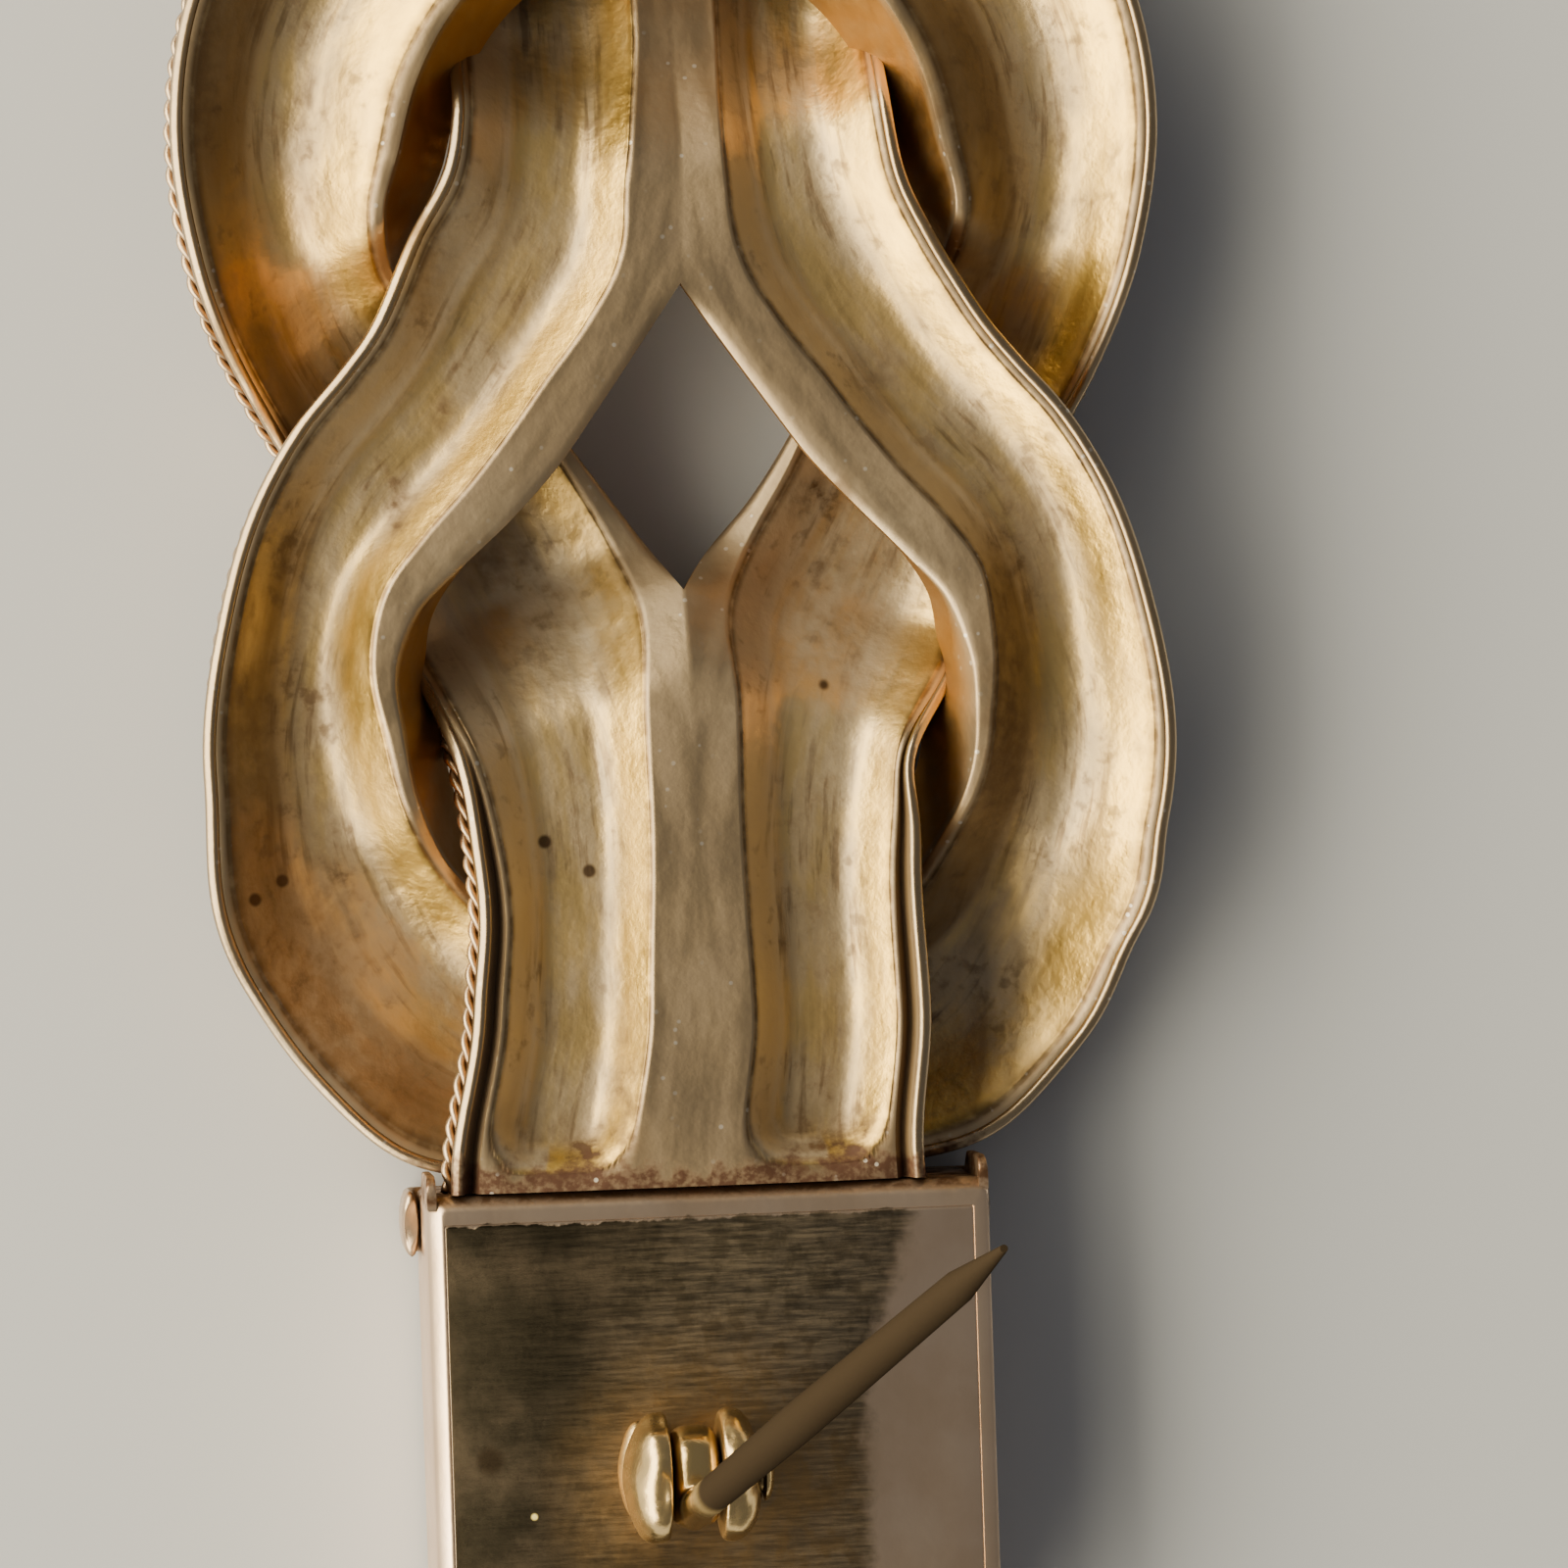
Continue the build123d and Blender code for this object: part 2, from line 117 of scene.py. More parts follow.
# Walls of a hollow: share of its width at the legs, gain at the bend, lip and foot in shares of the wall
OUTER_WALL = {"catch": 0.42, "hinge": 0.36}
OUTER_WALL_GAIN = 0.10
OUTER_WALL_FOOT = 0.5
INNER_WALL = 0.34
INNER_WALL_GAIN = {"catch": 0.05, "hinge": 0.18}
INNER_WALL_FOOT = 0.45
WALL_LIP = 0.12
FLOOR_CROWN = 0.08

# Where the hinge loop's hollows close at the legs' ends, and how much sooner they do so at their sides
HOLLOW_CLOSES, CLOSES_SOONER = 15.75, 0.9
HOLLOW_CLOSED, CLOSED_SOONER = 16.75, 0.5

# Skirt: the strand's inner side, turned down beside the other loop
SKIRT_LIP = 0.08
SKIRT_OUT = 0.32
SKIRT_DROP = 0.6
SKIRT_REACH = 0.95
SKIRT_DEPTH = 1.5
SHORT_SKIRT = {1: 0.65, -1: 0.3}
# Start and end of each change along the inner rim: in -inner_y, then in inner_y
SKIRT_BEGINS, TURN_OUT_BEGINS, LIP_BEGINS = (2.6, 4.8), (3.2, 5.2), (3.8, 5.8)
TURN_OUT_ENDS, SHORT_SKIRT_ENDS = (-8.7, -7.0), (-7.0, -5.0)

# Slope of the hinge loop's bent inner edge, steps across a strand and the roundness of its front
BENT_FLANGE_SLOPE = 0.42
HOLLOW_STEPS = 34
FRONT_STEPS = 22
FRONT_POWER = 2.5

# Twisted wire
WIRE_RADIUS = 0.18
WIRE_GAP = 0.03
WIRE_DROP = {"catch": 1.75, "hinge": 1.38}
TWIST_PITCH = 1.0
TWIST_STEPS = 12
TWIST_SIDES = 7
TWIST_SQUEEZE = 1.12

# Which way each half of the brooch lies along Y
TURNS = {"catch": 1, "hinge": -1}

# Terminals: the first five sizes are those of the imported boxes
CATCH_BOX_LOW, CATCH_BOX_HIGH = node_box("terminal_catch_end")
TERMINAL_START, TERMINAL_BOTTOM = CATCH_BOX_LOW[1:]
TERMINAL_HALF_WIDTH, TERMINAL_END, PLATE_TOP = CATCH_BOX_HIGH
SIDE_LIP = 0.37
FRONT_LIP = 0.62
PLATE_SEAM = 0.02
EAR_LENGTH = 0.5
EAR_THICKNESS = 0.22
EAR_HEIGHT = 2.3

# Hinge, pin, catch and mouldings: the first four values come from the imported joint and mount
HINGE = np.array(frame["joints"][0]["pos_m"]) / MM
PIN_MOUNT = next(mount for mount in frame["record"]["mounts"] if mount["name"] == "pin_stem")
PIN_WAY = np.array(PIN_MOUNT["axis"])
PIN_RADIUS = PIN_MOUNT["dims"]["r_mm"]
BARREL_LENGTH = 1.05
BARREL_RADIUS = 1.15
BARREL_BORE = 0.45
BARREL_CROWN = 0.3
BARREL_ROUNDING = 0.42
PIN_LENGTH = 48.28
PIN_ROOT_LENGTH = 2.4
PIN_ROOT_RADIUS = PIN_RADIUS + 0.05
PIN_TAPER_LENGTH = 22.0
PIN_TAPER_RADIUS = 0.275
PIN_POINT_LENGTH = 5.0
PIN_POINT_RADIUS = 0.06
CHEEK_FACE = 0.585
CHEEK_THICKNESS = 0.95
CHEEK_RADIUS = 1.45
CHEEK_WALL = 0.3
CHEEK_UNEVENNESS = 0.12
SOLDER_REACHES = (0.5, 1.15, 0.5)
CHAMFER = 0.05
RIVET_HEAD_RADIUS = 0.62
RIVET_HEAD_LENGTH = 0.28
RIVET_RADIUS = 0.4
CATCH_INNER_RADIUS = 0.6
CATCH_WALL = 0.4
CATCH_MOUTH = 0.9
CATCH_STEM_HALF_WIDTH = 0.35
COLLAR_CORNER = 0.45
COLLAR_THICKNESS = 0.4

# Camera, at the photograph's place
VIEW_CENTRE = np.array((2.0, -7.96, 4.6))
VIEW_DISTANCE = 140.0
VIEW_WIDTH = 35.56
VIEW_TILT = math.radians(6.7)
VIEW_ROLL = math.radians(1.83)
SENSOR_WIDTH = 36.0


def rise(value, start, end):
    """0 before start, 1 after end, and a smooth step between."""
    t = np.clip((value - start) / (end - start), 0, 1)
    return t * t * (3 - 2 * t)


def hill(value, middle, reach):
    """1 in the middle and near 0 beyond twice the reach."""
    return np.exp(-(((value - middle) / reach) ** 2))


def unit(vectors):
    """The same vectors with length 1."""
    return vectors / np.linalg.norm(vectors, axis=1)[:, None]


def curve(values, places, level=False):
    """Values with STEPS_PER_SPAN steps between each two. A level curve stays between its rows."""
    last = len(values) - 1
    spans = np.diff(places)
    steps = np.diff(values) / spans
    slopes = [steps[0]]
    for i in range(1, last):
        before, after = steps[i - 1], steps[i]
        if level:
            slopes.append(2 * before * after / (before + after) if before * after > 0 else 0.0)
        else:
            slopes.append((before * spans[i] + after * spans[i - 1]) / (spans[i - 1] + spans[i]))
    slopes.append(steps[-1])
    run = [values[0]]
    for i in range(last):
        for part in range(1, STEPS_PER_SPAN + 1):
            t = part / STEPS_PER_SPAN
            run.append(
                values[i] * (1 + 2 * t) * (1 - t) ** 2 + values[i + 1] * t * t * (3 - 2 * t)
                + spans[i] * t * (1 - t) * (slopes[i] * (1 - t) - slopes[i + 1] * t)
            )
    return run


def distances(points):
    """How far along their path the points lie."""
    return np.concatenate(([0.0], np.cumsum(np.linalg.norm(np.diff(points, axis=0), axis=1))))


def edge_curve(points):
    """Smooth curve along one edge of a strand, with its rows at their distances along the chords."""
    places = distances(points)
    return np.column_stack((curve(points[:, 0], places), curve(points[:, 1], places)))


def loop_run(loop, skip=0, end=len(SECTION_TABLE) - 1):
    """Smooth rows of half a loop: outer x, y, inner x, y and flange in millimetres, then dive and cleft."""
    column = {name: [row[i] for row in SECTION_TABLE] for i, name in enumerate(SECTION_COLUMNS)}
    outer, inner = (
        np.array([column[f"{rim}_x_{loop}"], column[f"{rim}_y"]]).T * (HALF_WIDTH, HALF_LENGTH)
        for rim in ("outer", "inner"))
    flange = FLANGE_WIDTH * np.array(column["flange_" + loop])[:, None]
    web = inner + unit(outer - inner) * flange
    outer_run, web_run = edge_curve(outer), edge_curve(web)
    corner = LEG_SPAN_COUNT
    inner_run = np.vstack((edge_curve(inner[:corner + 1]), edge_curve(inner[corner:])[1:]))
    flange_run = np.sum((inner_run - web_run) * unit(inner_run - outer_run), axis=1)
    even = range(len(SECTION_TABLE))
    dive, cleft = (curve(column[f"{kind}_{loop}"], even, level=True) for kind in ("dive", "cleft"))
    rows = list(zip(*outer_run.T, *inner_run.T, flange_run, dive, cleft))
    return rows[skip * STEPS_PER_SPAN:end * STEPS_PER_SPAN + 1]


def heights(dive):
    """Height of a strand's rims and of its crown."""
    rim = THICKNESS - (STRAND_DEPTH + CROSSING_GAP) * dive
    crown = (THICKNESS - STRAND_DEPTH) * (1 - dive)
    return rim, crown


def wall(share, lip, foot):
    """Share of the depth at a share of a wall's width: a straight slope between a rounded lip and foot."""
    u = min(max(share, 0.0), 1.0)
    whole = 1 - (lip + foot) / 2
    if u < lip:
        return u * u / (2 * lip * whole)
    if u < 1 - foot:
        return (u - lip / 2) / whole
    return 1 - (1 - u) ** 2 / (2 * foot * whole)


def bend_share(outer_y):
    """0 along a strand's leg and 1 round its bend."""
    return rise(-outer_y, -2.0, 5.0)


def flange_share(loop, side, outer_y, inner_y):
    """How much wider than its row says a flange is. The catch loop's two sides are unlike."""
    if loop == "hinge":
        return 1.0
    if side > 0:
        return 1.18 - 0.18 * rise(-outer_y, 0.0, 8.0)
    swell = 0.2 * hill(inner_y, 5.4, 1.5)
    return 1.12 + swell - 0.34 * rise(inner_y, 6.5, 9.5) - 0.12 * rise(-inner_y, 1.5, 5.0)


def strand_section(row, loop, side):
    """Closed outline of a strand at one row: distance from the outer rim, height from it, and depth shares.

    side is 1 for the right half and -1 for the left one, which the press made a little unlike."""
    outer_x, outer_y, inner_x, inner_y, flange, dive, cleft = row
    rim, crown = heights(dive)
    flange *= flange_share(loop, side, outer_y, inner_y)
    width = math.hypot(outer_x - inner_x, outer_y - inner_y)
    bowl = width - flange
    at_bend = bend_share(outer_y)
    outer_wall = OUTER_WALL[loop] + OUTER_WALL_GAIN * at_bend
    inner_wall = INNER_WALL + INNER_WALL_GAIN[loop] * at_bend
    depth = (rim - crown - SHEET) * (LEG_DEPTH_SHARE + (BEND_DEPTH_SHARE - LEG_DEPTH_SHARE) * at_bend)
    cleft_width = CLEFT_WIDTH * cleft
    start = RIM_STRIP + cleft_width
    across, height, hollow = [], [], []

    def add(a, h, share=0.0):
        across.append(a)
        height.append(h)
        hollow.append(share)

    for share, drop in RIM_PROFILE:
        add(share * RIM_STRIP, -drop * EDGE_ROUNDING)
    for share, drop in CLEFT_PROFILE:
        fall = EDGE_ROUNDING + (drop * CLEFT_DEPTH + HOLLOW_LIP * share) * cleft
        add(RIM_STRIP + share * cleft_width, -fall, 0.8 * drop)
    for step in range(HOLLOW_STEPS + 1):
        t = (1 - math.cos(math.pi * step / HOLLOW_STEPS)) / 2
        shape = wall(t / outer_wall, WALL_LIP, OUTER_WALL_FOOT)
        shape *= wall((1 - t) / inner_wall, WALL_LIP, INNER_WALL_FOOT)
        shape *= 1 - FLOOR_CROWN + FLOOR_CROWN * math.sin(math.pi * t)
        if loop == "hinge":
            aside = abs(2 * t - 1) ** 3
            closes, closed = HOLLOW_CLOSES - CLOSES_SOONER * aside, HOLLOW_CLOSED - CLOSED_SOONER * aside
            shape *= 1 - rise(outer_y, closes, closed)
        base = -(EDGE_ROUNDING + HOLLOW_LIP * cleft) * (1 - t) ** 3
        add(start + (bowl - start) * t, base - depth * shape, shape)
    opened = 1.0 if inner_x > 1e-6 else 0.0
    bevelled = rise(inner_x, 0.0, 0.7)
    bent = 0.0
    if loop == "hinge" and side > 0:
        bent = BENT_FLANGE_SLOPE * bevelled * rise(inner_y, -1.5, 0.3)
    for share, drop in INNER_EDGE_PROFILE:
        add(bowl + share * flange, -drop * EDGE_ROUNDING * bevelled - bent * share * flange)
    back_count = len(across)
    beside = opened * rise(-inner_y, *SKIRT_BEGINS)
    turned_out, short = 0.0, 0.0
    if loop == "catch":
        short = SHORT_SKIRT[side] * rise(inner_y, *SHORT_SKIRT_ENDS)
    if loop == "catch" and side > 0:
        turned_out = opened * rise(-inner_y, *TURN_OUT_BEGINS) * rise(inner_y, *TURN_OUT_ENDS)
    lip = SKIRT_LIP * beside + (SKIRT_OUT - SKIRT_LIP) * turned_out * rise(-inner_y, *LIP_BEGINS)
    edge = INNER_EDGE_PROFILE[-1][1] * EDGE_ROUNDING * bevelled + bent * flange
    foot = -SHEET - edge - SKIRT_DEPTH * beside
    add(width + lip, -0.35 * SHEET - edge - 0.1 * beside - SKIRT_DROP * turned_out)
    add(width + max(lip, SKIRT_REACH * beside * (1 - short)), foot)
    add(width - 0.05 * beside, foot)
    for step in range(FRONT_STEPS + 1):
        t = 1 - (1 - math.cos(math.pi * step / FRONT_STEPS)) / 2
        bottom = -(rim - crown) * (1 - abs(2 * t - 1) ** FRONT_POWER) ** (1 / FRONT_POWER)
        add(bowl * t, min(bottom, -SHEET) if t > 0.5 else min(bottom, -5 * EDGE_ROUNDING))
    return rim, width, back_count, across, height, hollow


# Sideways shifts in millimetres, because the real loops were bent and pressed by hand. Windows hold each in
# its place: rise from and to a coordinate, which may run downwards, or hill round one with its reach.
# "out" is the distance from the middle of the catch loop's bend.
BEND_MIDDLE = -7.0
HAND_SHIFTS = {
    "catch": (
        (0.16, ("x", hill, 0.2, 1.6), ("y", rise, 3, 7)),
        (-0.3, ("y", hill, 4.6, 1.5), ("x", rise, -4, -5.5)),
        (0.4, ("x", rise, -1, 3), ("y", rise, -9, -11.5)),
        (-0.3, ("x", rise, -1, 3), ("y", rise, -14, -16.2)),
        (-0.7, ("out", rise, 7, 10), ("x", rise, 0, -4), ("y", rise, -7.5, -12.3)),
        (0.35, ("x", rise, 2, 7), ("y", rise, -11.5, -14)),
        (0.3, ("x", rise, 2, 7), ("y", rise, -14, -16.2)),
        (-0.35, ("y", hill, -4.6, 1.9), ("x", rise, 3.5, 5), ("x", rise, 9, 7)),
    ),
    "hinge": (
        (-0.42, ("y", rise, -13, -16.5)),
        (0.12, ("y", hill, -11, 1.5), ("x", rise, -3.2, -4.6)),
        (-0.3, ("y", hill, -7.5, 1.1), ("x", rise, 4, 5.5)),
        (0.25, ("y", hill, -5.2, 1.1), ("x", rise, 4, 5.8)),
        (0.3, ("x", rise, 0, 1.5), ("x", rise, 5.5, 3.5), ("y", hill, -1, 2.2)),
        (-0.3, ("y", rise, 0, 4), ("x", rise, -4.5, -7)),
    ),
}


def hand_shift(loop, x, y):
    """Sideways shift of a loop's points at x and y."""
    places = {"x": x, "y": y, "out": np.hypot(x, y - BEND_MIDDLE)}
    total = 0.0
    for shift, *windows in HAND_SHIFTS[loop]:
        for place, window, first, second in windows:
            shift = shift * window(places[place], first, second)
        total = total + shift
    return total


def placed(name, data):
    """New object in the scene."""
    made = bpy.data.objects.new(name, data)
    bpy.context.scene.collection.objects.link(made)
    return made


def make_object(name, points, faces, uvs=None, values=None, sharp=None):
    """Smooth mesh object from points in millimetres, with point UVs and named point values."""
    mesh = bpy.data.meshes.new(name)
    mesh.from_pydata((np.asarray(points) * MM).tolist(), [], [list(map(int, face)) for face in faces])
    if uvs is not None:
        layer = mesh.uv_layers.new(name="strand")
        corners = np.zeros(len(mesh.loops), np.int32)
        mesh.loops.foreach_get("vertex_index", corners)
        layer.data.foreach_set("uv", np.asarray(uvs, np.float32)[corners].ravel())
    for key, data in (values or {}).items():
        attribute = mesh.attributes.new(key, "FLOAT", "POINT")
        attribute.data.foreach_set("value", np.asarray(data, np.float32))
    work = bmesh.new()
    work.from_mesh(mesh)
    bmesh.ops.remove_doubles(work, verts=work.verts, dist=1e-4 * MM)
    bmesh.ops.recalc_face_normals(work, faces=work.faces)
    work.to_mesh(mesh)
    work.free()
    mesh.shade_smooth()
    if sharp is not None:
        mesh.set_sharp_from_angle(angle=math.radians(sharp))
    return placed(name, mesh)


# Marks on the knot's back, of age and, for the spades, painted light: x, y, reach along x, reach along y,
# strength
MARKS = {
    "stain": (
        (-5.4, 0.7, 0.35, 0.5, 0.9), (-6.4, -1.5, 0.45, 0.9, 0.9), (3.3, -1.4, 0.6, 0.5, 0.9),
        (7.2, -6.9, 0.7, 2.8, 0.95), (-4.2, -2.6, 0.7, 0.6, 0.5), (3.6, -3.0, 0.8, 0.5, 0.4),
        (-8.6, -6.2, 0.45, 2.2, 0.5), (-8.2, -9.6, 0.5, 1.4, 0.55), (4.6, 1.4, 0.7, 1.1, 0.6),
        (-2.9, -16.2, 1.3, 0.55, 1.0), (2.9, -16.2, 1.3, 0.55, 1.0), (-8.3, 8.0, 0.2, 2.2, 0.5),
        (-7.3, 6.2, 0.2, 1.6, 0.45), (-9.9, -6.6, 0.7, 1.6, 0.6), (-9.0, -2.6, 0.5, 1.3, 0.5),
        (7.6, -2.6, 0.8, 1.6, 0.5), (-1.75, -14.6, 0.28, 1.7, 0.9), (2.9, -14.0, 0.45, 2.6, 0.35),
        (-5.9, 5.6, 0.5, 2.4, 0.8), (-3.9, 3.0, 1.0, 3.2, 0.3), (6.0, 6.2, 0.45, 2.2, 0.9),
        (-10.6, 8.6, 0.5, 2.0, 0.6), (9.0, 7.0, 0.35, 3.0, 0.35),
    ),
    "amber": (
        (-9.3, 3.9, 1.2, 2.8, 1.0), (-6.0, 4.2, 0.5, 1.6, 0.9), (5.4, 7.4, 0.5, 1.8, 0.9),
        (-5.6, -14.4, 0.6, 1.2, 0.15), (5.9, -7.0, 0.3, 1.6, 0.9), (7.0, 3.6, 0.5, 1.6, 0.6),
    ),
    "spade_painted_light": (
        (-3.3, -3.6, 2.2, 2.0, 1.0), (3.3, -4.4, 2.2, 2.6, 1.0), (-8.4, -12.9, 1.5, 2.4, 0.9),
        (7.1, -13.4, 1.1, 2.0, 0.9),
    ),
    "olive": (
        (8.2, -5.8, 0.5, 1.4, 0.7), (-3.1, 6.6, 0.7, 2.4, 0.2),
    ),
}


def mark_values(points, back):
    """Strength of each kind of mark at each point of a loop's back."""
    values = {}
    for kind, marks in MARKS.items():
        total = np.zeros(len(points))
        for x, y, reach_x, reach_y, strength in marks:
            total += strength * hill(points[:, 0], x, reach_x) * hill(points[:, 1], y, reach_y)
        values[kind] = np.clip(total, 0, 1) * back
    return values


def make_loop(name, loop):
    """A whole pressed loop with its rim strips, clefts and web, in one closed mesh."""
    turn = TURNS[loop]
    run = loop_run(loop)
    rim_end = len(RIM_PROFILE)
    cleft_end = rim_end + len(CLEFT_PROFILE)
    points, uvs, faces, shares = [], [], [], []
    rims = np.array(run)[:, :4]
    places = distances((rims[:, :2] + rims[:, 2:]) / 2)
    for side in (1, -1):
        offset = len(points)
        for row, along in zip(run, places):
            outer_x, outer_y, inner_x, inner_y = row[:4]
            rim, width, back_count, across, height, hollow = strand_section(row, loop, side)
            way = np.array((inner_x - outer_x, inner_y - outer_y)) / width
            for index, (a, h) in enumerate(zip(across, height)):
                x = outer_x + way[0] * a
                points.append((side * x if abs(x) > 1e-6 else 0.0, (outer_y + way[1] * a) * turn, rim + h))
                uvs.append((a, along))
                on_back = index < back_count
                share = hollow[index] if on_back else 0.0
                # The walls that face right, which the light from the left reaches last, get painted shade
                faces_right = on_back and (a < (width - row[4]) / 2) == (side < 0)
                lee = float(rise(share, 0.0, 0.15) * (1 - rise(share, 0.7, 0.97))) if faces_right else 0.0
                shares.append((
                    on_back, share, not on_back, index < rim_end - 1 or index >= len(across) - 2,
                    lee, lee * bend_share(outer_y), row[6] if rim_end <= index < cleft_end else 0.0))
        # The two halves meet where x is 0, and neither has a face there
        for face in ring_faces(len(run), len(across))[:-1]:
            corners = [offset + i for i in face]
            if any(points[i][0] != 0.0 for i in corners):
                faces.append(corners)
    points = np.array(points)
    points[:, 0] += hand_shift(loop, points[:, 0], points[:, 1])
    kinds = ("back", "hollow", "skirt", "rim", "lee", "shade", "cleft")
    values = dict(zip(kinds, np.array(shares, float).T))
    values.update(mark_values(points, values.pop("back")))
    return make_object(name, points, faces, uvs, values, sharp=50)


def path_frames(path):
    """Sideways and upward unit vectors at each point of a path."""
    ways = unit(np.gradient(path, axis=0))
    sides = unit(np.cross(ways, (0, 0, 1)))
    return sides, np.cross(sides, ways)


def even_path(points, step):
    """The same path with points at even distances, and their distances along it."""
    lengths = distances(points)
    count = max(2, int(round(lengths[-1] / step)) + 1)
    places = np.linspace(0, lengths[-1], count)
    return np.stack([np.interp(places, lengths, points[:, axis]) for axis in range(3)], axis=1), places


def tube(path, radii, count):
    """Points and faces of a round closed tube along a path, with count points to a ring."""
    sides, ups = path_frames(path)
    angles = np.linspace(0, 2 * math.pi, count, endpoint=False)[:, None]
    ring = sides[:, None, :] * np.cos(angles) + ups[:, None, :] * np.sin(angles)
    radii = np.broadcast_to(radii, len(path))[:, None, None]
    return (path[:, None, :] + ring * radii).reshape(-1, 3), ring_faces(len(path), count)


def ring_faces(rings, count):
    """Faces of a closed skin over rings of points."""
    faces = []
    for r in range(rings - 1):
        for c in range(count):
            d = (c + 1) % count
            faces.append((r * count + c, r * count + d, (r + 1) * count + d, (r + 1) * count + c))
    faces.append(list(range(count)))
    faces.append([(rings - 1) * count + c for c in range(count)])
    return faces


def joined(parts):
    """Several (points, faces) as one."""
    points, faces, offset = [], [], 0
    for part_points, part_faces in parts:
        points.append(part_points)
        faces.extend([[offset + i for i in face] for face in part_faces])
        offset += len(part_points)
    return np.vstack(points), faces


def fused(parts, voxel, smoothing):
    """Several closed skins melted into one, as soldered metal is."""
    made = make_object("melting", *joined(parts))
    remesh = made.modifiers.new("melt", "REMESH")
    remesh.mode = "VOXEL"
    remesh.voxel_size = voxel * MM
    smooth = made.modifiers.new("soften", "SMOOTH")
    smooth.iterations = smoothing
    held = made.evaluated_get(bpy.context.evaluated_depsgraph_get()).to_mesh()
    result_points = np.array([vertex.co for vertex in held.vertices]) / MM
    result_faces = [list(polygon.vertices) for polygon in held.polygons]
    bpy.data.objects.remove(made)
    return result_points, result_faces


def wire_path(loop, inner):
    """Centre line of one half of a loop's wire, tucked under the rim against the pressed wall."""
    run = loop_run(loop, skip=INNER_WIRE_SKIP_COUNT) if inner else loop_run(loop, end=OUTER_WIRE_SPAN_COUNT)
    path = []
    fall = WIRE_DROP[loop] / STRAND_DEPTH
    for row in run:
        outer_rim, inner_rim, flange = np.array(row[:2]), np.array(row[2:4]), row[4]
        width = math.hypot(*(outer_rim - inner_rim))
        out = (outer_rim - inner_rim) / width
        inset = (width - flange) * (1 - (1 - fall ** FRONT_POWER) ** (1 / FRONT_POWER)) / 2
        reach = WIRE_RADIUS + WIRE_GAP - inset
        x, y = inner_rim - out * (reach - flange) if inner else outer_rim + out * reach
        path.append((x, y * TURNS[loop], heights(row[5])[0] - WIRE_DROP[loop]))
    return np.array(path)


def make_twist(name, path, loop):
    """Two thin wires twisted round each other along a path."""
    path = path.copy()
    path[:, 0] += hand_shift(loop, path[:, 0], path[:, 1])
    centre, places = even_path(path, TWIST_PITCH / TWIST_STEPS)
    sides, ups = path_frames(centre)
    parts = []
    for strand in range(2):
        turn = 2 * math.pi * places / TWIST_PITCH + math.pi * strand
        offset = sides * np.cos(turn)[:, None] + ups * np.sin(turn)[:, None]
        parts.append(tube(centre + offset * WIRE_RADIUS / 2, WIRE_RADIUS / 2 * TWIST_SQUEEZE, TWIST_SIDES))
    return make_object(name, *joined(parts))


def rounded_outline(x0, x1, y0, y1, radius, corner_steps=5, side_steps=10):
    """Points round a rectangle with rounded corners, anticlockwise from its right lower corner."""
    corners = (
        (x1 - radius, y0 + radius, -90), (x1 - radius, y1 - radius, 0),
        (x0 + radius, y1 - radius, 90), (x0 + radius, y0 + radius, 180),
    )
    arcs = []
    for x, y, first in corners:
        angles = [math.radians(first + 90 * step / corner_steps) for step in range(corner_steps + 1)]
        arcs.append(np.array([(x + radius * math.cos(a), y + radius * math.sin(a)) for a in angles]))
    points = []
    for arc, after in zip(arcs, arcs[1:] + arcs[:1]):
        points.extend(arc)
        points.extend(arc[-1] + (after[0] - arc[-1]) * step / side_steps for step in range(1, side_steps))
    return np.array(points)


def stacked(outlines):
    """Closed skin over a stack of outlines, each with its height."""
    points = np.vstack([np.column_stack((outline, np.full(len(outline), z))) for outline, z in outlines])
    return points, ring_faces(len(outlines), len(outlines[0][0]))


def terminal_skin():
    """Box terminal at the catch end: bevelled left and front edges and a plate let into its back."""
    half, low, top = TERMINAL_HALF_WIDTH, TERMINAL_BOTTOM, PLATE_TOP
    # Insets from the left, the right, the front and the far end, height and corner radius
    walls = ((0.35, low), (0.08, low + 0.03), (0.0, low + 0.14), (0.0, low + 1.6), (0.0, top - 0.38))
    rings = [(inset, inset, inset, inset, z, 0.2) for inset, z in walls] + [
        (0.02, 0.0, 0.03, 0.0, top - 0.31, 0.2),
        (0.10, 0.0, 0.12, 0.0, top - 0.19, 0.2),
        (0.24, 0.03, 0.22, 0.02, top - 0.06, 0.17),
        (0.29, 0.08, 0.28, 0.06, top - 0.02, 0.15),
        (0.33, 0.14, 0.34, 0.12, top, 0.12),
    ]
    for inset, drop in ((0.0, 0.0), (0.012, PLATE_SEAM), (0.03, PLATE_SEAM), (0.06, 0.0)):
        side = SIDE_LIP + inset
        rings.append((side, side, FRONT_LIP + inset, side, top - drop, 0.05))
    return stacked([
        (rounded_outline(left - half, half - right, TERMINAL_START + front, TERMINAL_END - far, radius), z)
        for left, right, front, far, z, radius in rings
    ])


def ear_skin(side):
    """End of a side wall of the box, which reaches past its front beside the knot."""
    outer, inner = side * (TERMINAL_HALF_WIDTH - 0.01), side * (TERMINAL_HALF_WIDTH - EAR_THICKNESS)
    x0, x1 = min(outer, inner), max(outer, inner)
    start, end = TERMINAL_START - EAR_LENGTH, TERMINAL_START + 0.3
    rings = (
        (0.25, PLATE_TOP - EAR_HEIGHT), (0.0, PLATE_TOP - EAR_HEIGHT + 0.3), (0.0, PLATE_TOP - 0.55),
        (0.08, PLATE_TOP - 0.25), (0.22, PLATE_TOP - 0.12), (0.32, PLATE_TOP - 0.08),
    )
    return stacked([(rounded_outline(x0, x1, start + back, end, 0.06, 3, 4), z) for back, z in rings])


